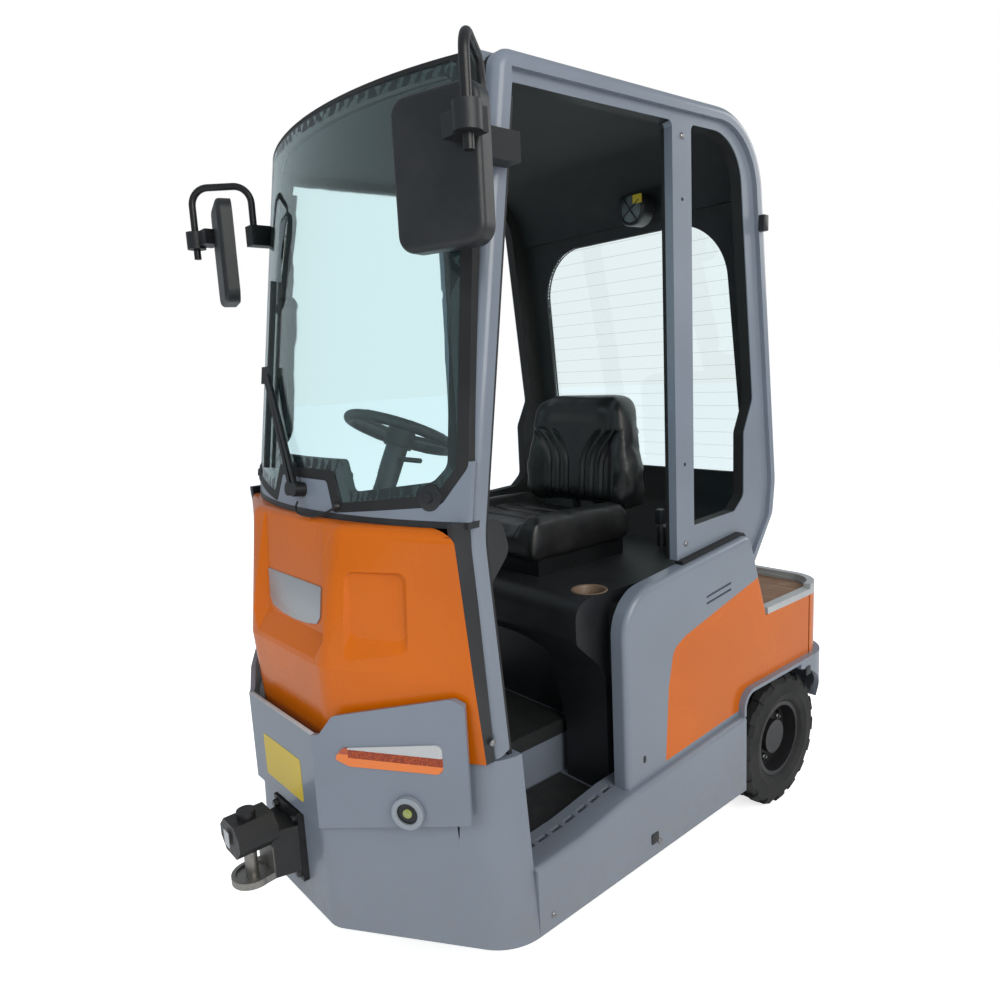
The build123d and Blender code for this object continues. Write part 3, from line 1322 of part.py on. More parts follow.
for index in range(SPOKES):
    turned = steer_plane * Rot(0, 0, 360 * index / SPOKES)
    spoke = Box(SPOKE_W, STEER_R - SPOKE_T, SPOKE_T)
    steering_wheel += turned * (Pos(0, -STEER_R / 2, -SPOKE_DROP) * spoke)
column_top = steer_plane.offset(-STEER_HUB_DROP - FIT)
column_tube = extrude(column_top * Circle(COLUMN_R), amount=-COLUMN_LENGTH)
steering_column = (column_tube - dashboard).solids().sort_by(Axis.Z)[-1]
stalk_point = steer_plane.offset(-STEER_HUB_DROP - STALK_DROP).origin
steering_column += cross_rod(stalk_point.X, stalk_point.Z, STALK_R, 0, STALK_LENGTH)
pedal_solids = []
for pedal_x, pedal_z, pedal_y, pedal_w in PEDAL_TABLE:
    tread = side_prism([
        (pedal_x, pedal_z, 0),
        (pedal_x + PEDAL_T, pedal_z, 0),
        (pedal_x + PEDAL_T + PEDAL_RUN, pedal_z + PEDAL_RISE, 0),
        (pedal_x + PEDAL_RUN, pedal_z + PEDAL_RISE, 0),
    ], pedal_y - pedal_w / 2, pedal_y + pedal_w / 2)
    lever_z = pedal_z + PEDAL_RISE * 0.7
    lever_x = pedal_x + PEDAL_RUN * 0.8
    lever = bar((lever_x, pedal_y, lever_z), (FOOT_BAY_FRONT, pedal_y, lever_z + PEDAL_LIFT), PEDAL_ARM, PEDAL_T)
    pedal_solids.append(tread + (lever - dashboard).solids().sort_by(Axis.X)[0])
pedals = Compound(children=pedal_solids)

# Couplings: a jaw with a pin in front, a stepped jaw with a drop pin behind.
jaw_x = APRON_FRONT + COUPLING_REACH - JAW_SETBACK
jaw_low = COUPLING_Z + JAW_UNDER
jaw_top = jaw_low + JAW_H
jaw_lip = COUPLING_Z - JAW_OVER
neck_end = APRON_FRONT + NECK_LENGTH
flange_end = APRON_FRONT + FLANGE_PLATE
flange_low = COUPLING_Z - FLANGE_DROP
front_coupling = block(APRON_FRONT, flange_end, -FLANGE_HALF, FLANGE_HALF, flange_low, COUPLING_Z + FLANGE_RISE)
neck_low = COUPLING_Z - NECK_DROP
front_coupling += plan_prism(both_sides([
    (APRON_FRONT, FLANGE_HALF, 0),
    (neck_end, NECK_HALF, 0),
]), neck_low, COUPLING_Z + NECK_RISE)
front_coupling += front_prism(both_halves([
    (JAW_HALF - JAW_CHAMFER, jaw_low, 0),
    (JAW_HALF, jaw_low + JAW_CHAMFER, 0),
    (JAW_HALF, jaw_top - JAW_CHAMFER, 0),
    (JAW_HALF - JAW_CHAMFER, jaw_top, 0),
]), neck_end - FLANGE_PLATE, jaw_x + JAW_FRONT)
front_coupling += plan_prism(both_sides([
    (neck_end - FLANGE_PLATE, NECK_HALF, 0),
    (jaw_x, JAW_SETBACK - 1, 0),
]), neck_low, jaw_lip)
front_coupling += post(jaw_x, 0, JAW_SETBACK, neck_low, jaw_lip)
front_coupling -= post(jaw_x, 0, LIP_DISH_R, jaw_lip - LIP_DISH, jaw_lip)
front_coupling += post(jaw_x, 0, TOW_PIN_R, neck_low, jaw_top)
front_coupling += post(jaw_x, 0, PIN_CAP_R, jaw_top, jaw_top + PIN_CAP_T)
back_low = REAR_JAW_LOW - REAR_BACK_DROP
level_top = REAR_JAW_LOW + (REAR_JAW_LEVELS - 1) * REAR_JAW_STEP + REAR_JAW_T
back_half = REAR_JAW_HALF + REAR_BACK_EDGE
jaw_end = REAR_END - REAR_REACH
rear_coupling = block(REAR_END - REAR_BACK_T, REAR_END, -back_half, back_half, back_low, level_top + REAR_BACK_RISE)
for index in range(REAR_JAW_LEVELS):
    level_z = REAR_JAW_LOW + index * REAR_JAW_STEP
    level_plan = tail_plan(REAR_JAW_HALF, jaw_end, REAR_END - REAR_BACK_T / 2, REAR_JAW_R)
    rear_coupling += plan_prism(level_plan, level_z, level_z + REAR_JAW_T)
drop_pin_x = jaw_end + REAR_PIN_SETBACK
grip_z = level_top + REAR_PIN_OVER
grip_side = PIN_GRIP_W / 2
rear_coupling += post(drop_pin_x, 0, TOW_PIN_R, REAR_JAW_LOW - REAR_PIN_UNDER, grip_z)
rear_coupling += block(
    drop_pin_x - grip_side, drop_pin_x + grip_side, -PIN_GRIP / 2, PIN_GRIP / 2, grip_z, grip_z + PIN_GRIP_W
)

# Mirrors on bent tubes, wiper, grab handles and work lamp.
clamp_rear = pillar_front(MIRROR_CLAMP_Z) - MIRROR_CLAMP_LAP
clamp_low = MIRROR_CLAMP_Z - MIRROR_CLAMP_H / 2
clamp_high = MIRROR_CLAMP_Z + MIRROR_CLAMP_H / 2
clamp_edge = MIRROR_TUBE_R + SHEET
mirror_arm = tube([
    (MIRROR_ROOT_X, MIRROR_ROOT_Y, clamp_low),
    (MIRROR_ROOT_X, MIRROR_ROOT_Y, MIRROR_TUBE_TOP),
    (MIRROR_LEG_X, MIRROR_LEG_Y, MIRROR_TUBE_TOP),
    (MIRROR_LEG_X, MIRROR_LEG_Y, MIRROR_TUBE_LOW),
], MIRROR_BEND_R, MIRROR_TUBE_R)
mirror_arm += block(
    clamp_rear, MIRROR_ROOT_X + clamp_edge, CAB_OUT, MIRROR_ROOT_Y + clamp_edge, clamp_low, clamp_high
)
mirror_arms = pair(mirror_arm)
head_box = Box(MIRROR_DEPTH, MIRROR_WIDTH, MIRROR_HEIGHT)
head_box = fillet(head_box.edges().filter_by(Axis.X), MIRROR_R)
head_box = fillet(head_box.faces().sort_by(Axis.X)[-1].edges(), MIRROR_EDGE_R)
mirror_head = Pos(MIRROR_HEAD_X, MIRROR_HEAD_Y, MIRROR_HEAD_Z) * (Rot(0, 0, MIRROR_TURN) * head_box)
ball_low = MIRROR_HEAD_Z + MIRROR_BALL_RISE - MIRROR_BALL_H / 2
ball_high = ball_low + MIRROR_BALL_H
knuckle_y = MIRROR_HEAD_Y + MIRROR_WIDTH / 4
mirror_head += block(
    MIRROR_HEAD_X - MIRROR_EDGE_R, MIRROR_LEG_X, knuckle_y, MIRROR_LEG_Y, ball_low + MIRROR_EDGE_R / 2, ball_high
)
mirror_head += post(MIRROR_LEG_X, MIRROR_LEG_Y, MIRROR_BALL_R, ball_low, ball_high)
mirror_head -= post(MIRROR_LEG_X, MIRROR_LEG_Y, MIRROR_TUBE_R, MIRROR_TUBE_LOW, MIRROR_TUBE_TOP)
mirror_heads = pair(mirror_head)


def on_screen(y, z, out):
    """Point out from the windscreen's inner face."""
    arc = math.sqrt((SCREEN_R + out) ** 2 - y ** 2)
    return (screen_centre_x + arc + pillar_slope * (z - PILLAR_KNEE_Z), y, z)


wiper = bar(on_screen(WIPER_TIP_Y, BLADE_LOW, BLADE_LIFT), on_screen(WIPER_TIP_Y, BLADE_TOP, BLADE_LIFT), BLADE_W, BLADE_T)
carrier_low = on_screen(WIPER_TIP_Y, WIPER_TIP_Z - CARRIER_H / 2, WIPER_LIFT)
carrier_high = on_screen(WIPER_TIP_Y, WIPER_TIP_Z + CARRIER_H / 2, WIPER_LIFT)
wiper += bar(carrier_low, carrier_high, CARRIER_H, WIPER_ARM_T)
for side in (-1, 1):
    pivot_y = side * WIPER_ARM_GAP / 2
    cap_plane = Plane(origin=on_screen(pivot_y, WIPER_PIVOT_Z, SCREEN_T), z_dir=(1, 0, -pillar_slope))
    wiper += extrude(cap_plane * Circle(WIPER_CAP_R), amount=WIPER_CAP_H)
    arm_foot = on_screen(pivot_y, WIPER_PIVOT_Z, WIPER_LIFT)
    arm_tip = on_screen(WIPER_TIP_Y + pivot_y, WIPER_TIP_Z, WIPER_LIFT)
    wiper += bar(arm_foot, arm_tip, WIPER_ARM_W, WIPER_ARM_T)
wiper -= cowl_panel
handle_foot = pillar_front(HANDLE_LOW) - PILLAR_W / 2
handle_head = pillar_front(HANDLE_TOP) - PILLAR_W / 2
handle_y = CAB_IN - HANDLE_OUT
grab_handle = tube([
    (handle_foot, CAB_IN, HANDLE_LOW),
    (handle_foot - HANDLE_SLANT, handle_y, HANDLE_LOW),
    (handle_head - HANDLE_SLANT, handle_y, HANDLE_TOP),
    (handle_head, CAB_IN, HANDLE_TOP),
], HANDLE_BEND_R, HANDLE_R)
grab_handles = pair(grab_handle & block(beyond_rear, beyond_front, 0, CAB_IN, NOSE_TOP, ROOF_Z))
lamp_foot_x = rear_line(WORK_LAMP_Z) + WALL_T
lamp_back = lamp_foot_x + LINER_T + WORK_FOOT_T
lamp_foot_top = WORK_LAMP_Z + WORK_FOOT_H
lamp_foot_left = WORK_LAMP_Y + WORK_FOOT_HALF
lamp_foot_right = WORK_LAMP_Y - WORK_FOOT_HALF
work_lamp = block(lamp_foot_x, lamp_back, lamp_foot_right, lamp_foot_left, WORK_LAMP_Z, lamp_foot_top)
work_lamp = work_lamp - rear_wall - cab_roof - roof_liner
lamp_can = Rot(0, 90, 0) * Cylinder(WORK_LAMP_R, WORK_LAMP_T)
work_lamp += Pos(lamp_back + WORK_LAMP_T / 2, WORK_LAMP_Y, WORK_LAMP_Z) * lamp_can

NODES = {
    "chassis_frame": chassis_frame,
    "front_apron": front_apron,
    "bumper_plate": bumper_plate,
    "lamp_housings": lamp_housings,
    "lamp_lenses": lamp_lenses,
    "nose_cover": nose_cover,
    "nose_seal": nose_seal,
    "cowl_panel": cowl_panel,
    "windscreen": windscreen,
    "windscreen_seal": windscreen_seal,
    "cab_side_left": cab_side,
    "cab_side_right": cab_side_right,
    "door_seals": door_seals,
    "cab_roof": cab_roof,
    "roof_liner": roof_liner,
    "rear_wall": rear_wall,
    "rear_window": rear_window,
    "work_lamp": work_lamp,
    "side_sills": side_sills,
    "floor_pan": floor_pan,
    "floor_mats": floor_mats,
    "dashboard": dashboard,
    "steering_column": steering_column,
    "pedals": pedals,
    "seat_console": seat_console,
    "seat_base": seat_base,
    "seat_cushion": seat_cushion,
    "seat_back": seat_back,
    "flank_panels": flank_panels,
    "flank_inlays": flank_inlays,
    "flank_trims": flank_trims,
    "rear_cover": rear_cover,
    "rear_deck": rear_deck,
    "deck_rim": deck_rim,
    "rear_bumper": rear_bumper,
    "tail_lamps": tail_lamps,
    "fender_liners": fender_liners,
    "battery_block": battery_block,
    "drive_axle": drive_axle,
    "front_coupling": front_coupling,
    "rear_coupling": rear_coupling,
    "mirror_arms": mirror_arms,
    "mirror_heads": mirror_heads,
    "wiper": wiper,
    "grab_handles": grab_handles,
    "steer_fork": steer_fork,
    "front_rim": front_rim,
    "front_tyre": front_tyre,
    "rear_rim_left": rear_rim,
    "rear_tyre_left": rear_tyre,
    "rear_rim_right": mirror(rear_rim, about=Plane.XZ),
    "rear_tyre_right": mirror(rear_tyre, about=Plane.XZ),
    "steering_wheel": steering_wheel,
}

for name, shape in NODES.items():
    solids = [Pos(-ORIGIN_X, 0, 0) * solid for solid in shape.solids()]
    export_step(solids[0] if len(solids) == 1 else Compound(solids), f"parts/{name}.step")
    print(name, len(solids), round(sum(solid.volume for solid in solids) / 1000), "cm3")
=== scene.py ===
import math
import bmesh
import bpy
from mathutils import Matrix, Vector


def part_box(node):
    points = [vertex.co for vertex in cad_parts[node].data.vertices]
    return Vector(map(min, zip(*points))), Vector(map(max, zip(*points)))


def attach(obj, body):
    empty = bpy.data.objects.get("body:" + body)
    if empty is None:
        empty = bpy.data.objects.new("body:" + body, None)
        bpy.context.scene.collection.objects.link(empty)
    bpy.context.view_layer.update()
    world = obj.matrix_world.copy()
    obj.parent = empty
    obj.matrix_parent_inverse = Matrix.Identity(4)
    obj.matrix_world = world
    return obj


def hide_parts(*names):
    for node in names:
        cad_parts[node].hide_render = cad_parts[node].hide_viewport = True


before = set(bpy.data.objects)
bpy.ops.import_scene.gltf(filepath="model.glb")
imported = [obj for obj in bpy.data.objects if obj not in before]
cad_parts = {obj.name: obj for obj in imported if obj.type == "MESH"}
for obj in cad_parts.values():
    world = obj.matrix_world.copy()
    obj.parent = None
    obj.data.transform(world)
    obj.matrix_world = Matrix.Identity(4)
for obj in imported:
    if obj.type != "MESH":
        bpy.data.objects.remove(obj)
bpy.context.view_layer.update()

# Studio: a camera at standing height in front and to the left of the machine,
# a pale floor that keeps the shadow, and large soft lamps.
scene = bpy.context.scene
scene.view_settings.view_transform = "Standard"
CAMERA_PLACE = (1.415, 1.545, 1.319)
CAMERA_YAW = math.radians(229.45)
CAMERA_PITCH = math.radians(-9.53)
CAMERA_ROLL = math.radians(-2.93)
SENSOR_WIDTH = 36.0
LENS_LENGTH = 27.3226
camera_data = bpy.data.cameras.new("camera")
camera_data.sensor_width = SENSOR_WIDTH
camera_data.lens = LENS_LENGTH
camera = bpy.data.objects.new("camera", camera_data)
scene.collection.objects.link(camera)
ahead = Vector((
    math.cos(CAMERA_PITCH) * math.cos(CAMERA_YAW),
    math.cos(CAMERA_PITCH) * math.sin(CAMERA_YAW),
    math.sin(CAMERA_PITCH),
))
level_right = ahead.cross(Vector((0, 0, 1))).normalized()
level_up = level_right.cross(ahead)
tilt_right = level_right * math.cos(CAMERA_ROLL) + level_up * math.sin(CAMERA_ROLL)
tilt_up = level_up * math.cos(CAMERA_ROLL) - level_right * math.sin(CAMERA_ROLL)
turned = Matrix((tilt_right, tilt_up, -ahead)).transposed().to_4x4()
camera.matrix_world = Matrix.Translation(CAMERA_PLACE) @ turned
scene.camera = camera

SKY_WHITE = (1.0, 1.0, 1.0, 1.0)
SKY_TINT = (0.86, 0.93, 1.0, 1.0)
SKY_STRENGTH = 0.40
world = bpy.data.worlds.new("studio")
scene.world = world
world.use_nodes = True
sky = world.node_tree
sky.nodes.clear()
sky_out = sky.nodes.new("ShaderNodeOutputWorld")
sky_mix = sky.nodes.new("ShaderNodeMixShader")
sky_seen = sky.nodes.new("ShaderNodeBackground")
sky_seen.inputs["Color"].default_value = SKY_WHITE
sky_light = sky.nodes.new("ShaderNodeBackground")
sky_light.inputs["Color"].default_value = SKY_TINT
sky_light.inputs["Strength"].default_value = SKY_STRENGTH
sky_path = sky.nodes.new("ShaderNodeLightPath")
sky_or = sky.nodes.new("ShaderNodeMath")
sky_or.operation = "MAXIMUM"
sky.links.new(sky_path.outputs["Is Camera Ray"], sky_or.inputs[0])
sky.links.new(sky_path.outputs["Is Transmission Ray"], sky_or.inputs[1])
sky.links.new(sky_or.outputs[0], sky_mix.inputs[0])
sky.links.new(sky_light.outputs[0], sky_mix.inputs[1])
sky.links.new(sky_seen.outputs[0], sky_mix.inputs[2])
sky.links.new(sky_mix.outputs[0], sky_out.inputs["Surface"])

# Each lamp: place, target, side, power, colour, and whether it shows in reflections.
LAMPS = {
    "key": ((0.8, 4.6, 3.0), (0.0, 0.0, 0.5), 3.2, 150.0, (1.0, 0.97, 0.92), True),
    "front": ((5.2, 0.4, 3.2), (0.4, 0.0, 0.8), 3.0, 100.0, (0.95, 0.98, 1.0), False),
    "far": ((-2.5, -4.2, 3.4), (0.0, 0.0, 0.8), 3.0, 70.0, (0.95, 0.98, 1.0), False),
    "back": ((-4.6, 1.6, 3.0), (0.0, 0.0, 0.8), 2.4, 50.0, (1.0, 0.98, 0.95), True),
}
for lamp_name, (place, target, side, power, colour, mirrored) in LAMPS.items():
    lamp_data = bpy.data.lights.new(lamp_name, "AREA")
    lamp_data.size = side
    lamp_data.energy = power
    lamp_data.color = colour
    lamp = bpy.data.objects.new(lamp_name, lamp_data)
    lamp.location = place
    lamp.visible_glossy = mirrored
    lamp.visible_transmission = False
    aim = Vector(target) - Vector(place)
    lamp.rotation_euler = aim.to_track_quat("-Z", "Y").to_euler()
    scene.collection.objects.link(lamp)


def mesh_object(name, bm, smooth_angle=35.0):
    """New object at the origin from a finished bmesh, shaded smooth below an angle."""
    mesh = bpy.data.meshes.new(name)
    bm.to_mesh(mesh)
    bm.free()
    mesh.shade_smooth()
    mesh.set_sharp_from_angle(angle=math.radians(smooth_angle))
    made = bpy.data.objects.new(name, mesh)
    scene.collection.objects.link(made)
    return made


def shader(name):
    """New material with its Principled shader, node tree and Object coordinates."""
    made = bpy.data.materials.new(name)
    made.use_nodes = True
    tree = made.node_tree
    surface = tree.nodes["Principled BSDF"]
    coords = tree.nodes.new("ShaderNodeTexCoord")
    return made, tree, surface, coords.outputs["Object"]


FLOOR_HALF = 40.0
FLOOR_COLOUR = (0.90, 0.90, 0.90, 1.0)
FLOOR_GLOW = 0.72
floor_bm = bmesh.new()
bmesh.ops.create_grid(floor_bm, x_segments=1, y_segments=1, size=FLOOR_HALF)
floor = mesh_object("studio_floor", floor_bm)
floor_stuff, floor_tree, floor_face, _ = shader("studio_floor")
floor_face.inputs["Base Color"].default_value = FLOOR_COLOUR
floor_face.inputs["Roughness"].default_value = 0.9
floor_face.inputs["Specular IOR Level"].default_value = 0.1
floor_path = floor_tree.nodes.new("ShaderNodeLightPath")
floor_seen = floor_tree.nodes.new("ShaderNodeMath")
floor_seen.operation = "MAXIMUM"
floor_tree.links.new(floor_path.outputs["Is Camera Ray"], floor_seen.inputs[0])
floor_tree.links.new(floor_path.outputs["Is Transmission Ray"], floor_seen.inputs[1])
floor_glow = floor_tree.nodes.new("ShaderNodeMath")
floor_glow.operation = "MULTIPLY"
floor_glow.inputs[1].default_value = FLOOR_GLOW
floor_tree.links.new(floor_seen.outputs[0], floor_glow.inputs[0])
floor_face.inputs["Emission Color"].default_value = SKY_WHITE
floor_tree.links.new(floor_glow.outputs[0], floor_face.inputs["Emission Strength"])
floor.data.materials.append(floor_stuff)

# Painted steel and sheet: a grey satin finish coat over primer on the welded cab, apron,
# bumper plate, sills and flanks, and a clear-coated orange on the moulded covers.
PAINT_PEEL = 700.0
PEEL_STRENGTH = 0.10
PEEL_DEPTH = 0.0006
CLOUD_SCALE = 3.5
CLOUD_RANGE = (0.3, 0.7)
CLOUD_TONE = (0.93, 1.05)
CLOUD_ROUGH = (-0.05, 0.06)
COAT_ROUGH = 0.06
GREY = (0.176, 0.205, 0.252)
GREY_ROUGH = 0.34
GREY_COAT = 0.25
ORANGE = (0.56, 0.118, 0.001)
GRIME_COLOUR = (0.21, 0.17, 0.12)
GRIME_SCALE = 38.0
GRIME_ROUGH = 0.45
MIX_A, MIX_B, MIX_RESULT = 6, 7, 2


def noise(tree, coords, scale, detail=2.0, rough=0.5):
    made = tree.nodes.new("ShaderNodeTexNoise")
    made.inputs["Scale"].default_value = scale
    made.inputs["Detail"].default_value = detail
    made.inputs["Roughness"].default_value = rough
    tree.links.new(coords, made.inputs["Vector"])
    return made.outputs["Fac"]


def spread(tree, value, low, high, to_low, to_high):
    """Value carried from one range to another and kept inside it."""
    made = tree.nodes.new("ShaderNodeMapRange")
    made.inputs["From Min"].default_value = low
    made.inputs["From Max"].default_value = high
    made.inputs["To Min"].default_value = to_low
    made.inputs["To Max"].default_value = to_high
    tree.links.new(value, made.inputs["Value"])
    return made.outputs["Result"]


def sums(tree, operation, first, second):
    """Math node on two values, each a number or a socket."""
    made = tree.nodes.new("ShaderNodeMath")
    made.operation = operation
    for index, value in enumerate((first, second)):
        if isinstance(value, (int, float)):
            made.inputs[index].default_value = value
        else:
            tree.links.new(value, made.inputs[index])
    return made.outputs[0]


def blend_colour(tree, amount, first, second):
    made = tree.nodes.new("ShaderNodeMix")
    made.data_type = "RGBA"
    tree.links.new(amount, made.inputs["Factor"])
    for index, value in ((MIX_A, first), (MIX_B, second)):
        if isinstance(value, tuple):
            made.inputs[index].default_value = (*value, 1.0)
        else:
            tree.links.new(value, made.inputs[index])
    return made.outputs[MIX_RESULT]


def bump(tree, surface, height, strength, distance):
    made = tree.nodes.new("ShaderNodeBump")
    made.inputs["Strength"].default_value = strength
    made.inputs["Distance"].default_value = distance
    tree.links.new(height, made.inputs["Height"])
    tree.links.new(made.outputs["Normal"], surface.inputs["Normal"])


def axis_value(tree, coords, axis):
    made = tree.nodes.new("ShaderNodeSeparateXYZ")
    tree.links.new(coords, made.inputs[0])
    return made.outputs[axis]


def start_group(name, inputs, outputs):
    """Empty node group with named sockets, and its two end nodes."""
    group = bpy.data.node_groups.new(name, "ShaderNodeTree")
    for label, kind, value in inputs:
        socket = group.interface.new_socket(label, in_out="INPUT", socket_type=kind)
        socket.default_value = value
    for label, kind in outputs:
        group.interface.new_socket(label, in_out="OUTPUT", socket_type=kind)
    return group, group.nodes.new("NodeGroupInput"), group.nodes.new("NodeGroupOutput")


def place_group(tree, group, **values):
    made = tree.nodes.new("ShaderNodeGroup")
    made.node_tree = group
    for label, value in values.items():
        socket = made.inputs[label.replace("_", " ")]
        if isinstance(value, (int, float, tuple)):
            socket.default_value = value
        else:
            tree.links.new(value, socket)
    return made.outputs


paint_film, film_in, film_out = start_group(
    "paint_film",
    (("Color", "NodeSocketColor", (0.5, 0.5, 0.5, 1.0)), ("Roughness", "NodeSocketFloat", 0.3)),
    (("Color", "NodeSocketColor"), ("Roughness", "NodeSocketFloat"), ("Height", "NodeSocketFloat")),
)
film_coords = paint_film.nodes.new("ShaderNodeTexCoord").outputs["Object"]
film_peel = noise(paint_film, film_coords, PAINT_PEEL, 1.0)
film_cloud = noise(paint_film, film_coords, CLOUD_SCALE, 3.0)
film_tone = spread(paint_film, film_cloud, *CLOUD_RANGE, *CLOUD_TONE)
film_scale = paint_film.nodes.new("ShaderNodeMix")
film_scale.data_type = "RGBA"
film_scale.blend_type = "MULTIPLY"
film_scale.inputs["Factor"].default_value = 1.0
paint_film.links.new(film_in.outputs["Color"], film_scale.inputs[MIX_A])
paint_film.links.new(film_tone, film_scale.inputs[MIX_B])
paint_film.links.new(film_scale.outputs[MIX_RESULT], film_out.inputs["Color"])
film_shift = spread(paint_film, film_cloud, *CLOUD_RANGE, *CLOUD_ROUGH)
film_rough = sums(paint_film, "ADD", film_in.outputs["Roughness"], film_shift)
paint_film.links.new(film_rough, film_out.inputs["Roughness"])
paint_film.links.new(film_peel, film_out.inputs["Height"])

road_grime, grime_in, grime_out = start_group(
    "road_grime",
    (
        ("Color", "NodeSocketColor", (0.5, 0.5, 0.5, 1.0)),
        ("Roughness", "NodeSocketFloat", 0.3),
        ("Level", "NodeSocketFloat", 0.35),
        ("Amount", "NodeSocketFloat", 0.35),
    ),
    (("Color", "NodeSocketColor"), ("Roughness", "NodeSocketFloat")),
)
grime_coords = road_grime.nodes.new("ShaderNodeTexCoord").outputs["Object"]
grime_height = axis_value(road_grime, grime_coords, 2)
grime_spots = noise(road_grime, grime_coords, GRIME_SCALE, 6.0, 0.65)
grime_fade = sums(road_grime, "DIVIDE", grime_height, grime_in.outputs["Level"])
grime_low = spread(road_grime, grime_fade, 0.3, 1.0, 1.0, 0.0)
grime_speck = spread(road_grime, grime_spots, 0.42, 0.72, 0.1, 1.0)
grime_mask = sums(road_grime, "MULTIPLY", grime_low, grime_speck)
grime_mask = sums(road_grime, "MULTIPLY", grime_mask, grime_in.outputs["Amount"])
grime_mix = blend_colour(road_grime, grime_mask, grime_in.outputs["Color"], GRIME_COLOUR)
road_grime.links.new(grime_mix, grime_out.inputs["Color"])
grime_chalk = sums(road_grime, "MULTIPLY", grime_mask, GRIME_ROUGH)
grime_rough = sums(road_grime, "ADD", grime_in.outputs["Roughness"], grime_chalk)
road_grime.links.new(grime_rough, grime_out.inputs["Roughness"])


def painted(name, colour, rough, coat, grime=0.35, level=0.42, shine=0.5):
    """Paint with a fine peel, a little cloudiness and road dirt low down."""
    made, tree, surface, _ = shader(name)
    film = place_group(tree, paint_film, Color=(*colour, 1.0), Roughness=rough)
    dirt = place_group(
        tree, road_grime, Color=film["Color"], Roughness=film["Roughness"], Level=level, Amount=grime
    )
    tree.links.new(dirt["Color"], surface.inputs["Base Color"])
    tree.links.new(dirt["Roughness"], surface.inputs["Roughness"])
    surface.inputs["Specular IOR Level"].default_value = shine
    surface.inputs["Coat Weight"].default_value = coat
    surface.inputs["Coat Roughness"].default_value = COAT_ROUGH
    bump(tree, surface, film["Height"], PEEL_STRENGTH, PEEL_DEPTH)
    return made


def dress(stuff, *nodes):
    for node in nodes:
        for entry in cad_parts[node].material_slots:
            entry.material = stuff


grey_paint = painted("grey_paint", GREY, GREY_ROUGH, GREY_COAT)
dress(grey_paint, "front_apron", "bumper_plate", "cowl_panel", "cab_roof", "side_sills")
dress(grey_paint, "floor_pan", "flank_panels", "rear_bumper")
orange_paint = painted("orange_paint", ORANGE, rough=0.26, coat=0.30, grime=0.12, shine=0.18)
dress(orange_paint, "nose_cover", "flank_inlays", "rear_cover")

# Cab sides: the same grey outside, and black over the inner faces and round the reveal
# of the quarter opening, standing partly for black trim glued there and partly for painted shade inside the
# cab.
TRIM_AND_SHADE_EDGE = 0.4435
POST_TRIM_AND_SHADE_EDGE = 0.424
QUARTER_END = -0.2
BLACK_TRIM_AND_SHADE = (0.007, 0.0075, 0.008)
TRIM_ROUGH = 0.3
EDGE_BLEND = 0.001
cab_paint, cab_tree, cab_face, cab_coords = shader("cab_paint")
cab_film = place_group(cab_tree, paint_film, Color=(*GREY, 1.0), Roughness=GREY_ROUGH)
cab_side_y = sums(cab_tree, "ABSOLUTE", axis_value(cab_tree, cab_coords, 1), 0.0)
cab_normal = cab_tree.nodes.new("ShaderNodeNewGeometry").outputs["Normal"]
cab_ahead = spread(cab_tree, axis_value(cab_tree, cab_normal, 0), 0.5, 0.6, 0.0, 1.0)
cab_x = axis_value(cab_tree, cab_coords, 0)
cab_fore = spread(cab_tree, cab_x, QUARTER_END - EDGE_BLEND, QUARTER_END, 0.0, 1.0)
cab_bare = sums(cab_tree, "MULTIPLY", cab_ahead, cab_fore)
cab_edge = spread(cab_tree, cab_bare, 0.0, 1.0, TRIM_AND_SHADE_EDGE, POST_TRIM_AND_SHADE_EDGE)
# Black trim and painted shade: faces inboard of the edge are made black.
cab_trim_and_shade_mask = sums(cab_tree, "LESS_THAN", cab_side_y, cab_edge)
cab_colour = blend_colour(cab_tree, cab_trim_and_shade_mask, cab_film["Color"], BLACK_TRIM_AND_SHADE)
cab_tree.links.new(cab_colour, cab_face.inputs["Base Color"])
cab_rough = sums(cab_tree, "ADD", cab_film["Roughness"], sums(cab_tree, "MULTIPLY", cab_trim_and_shade_mask, TRIM_ROUGH))
cab_tree.links.new(cab_rough, cab_face.inputs["Roughness"])
cab_face.inputs["Coat Roughness"].default_value = COAT_ROUGH
cab_coat = spread(cab_tree, cab_trim_and_shade_mask, 0.0, 1.0, GREY_COAT, 0.0)
cab_tree.links.new(cab_coat, cab_face.inputs["Coat Weight"])
bump(cab_tree, cab_face, cab_film["Height"], PEEL_STRENGTH, PEEL_DEPTH)
dress(cab_paint, "cab_side_left", "cab_side_right")

# Chassis: welded plate, grey where it shows as the tunnel wall beside the steps
# and black underneath.
TUNNEL_SEEN = 0.292
TUNNEL_BLEND = 0.002
UNDER_BLACK = (0.010, 0.010, 0.011)
under_paint, under_tree, under_face, under_coords = shader("under_paint")
under_film = place_group(under_tree, paint_film, Color=(*GREY, 1.0), Roughness=0.4)
under_z = axis_value(under_tree, under_coords, 2)
under_mask = spread(under_tree, under_z, TUNNEL_SEEN - TUNNEL_BLEND, TUNNEL_SEEN, 1.0, 0.0)
under_colour = blend_colour(under_tree, under_mask, under_film["Color"], UNDER_BLACK)
under_tree.links.new(under_colour, under_face.inputs["Base Color"])
under_tree.links.new(under_film["Roughness"], under_face.inputs["Roughness"])
bump(under_tree, under_face, under_film["Height"], 0.15, 0.0008)
dress(under_paint, "chassis_frame")

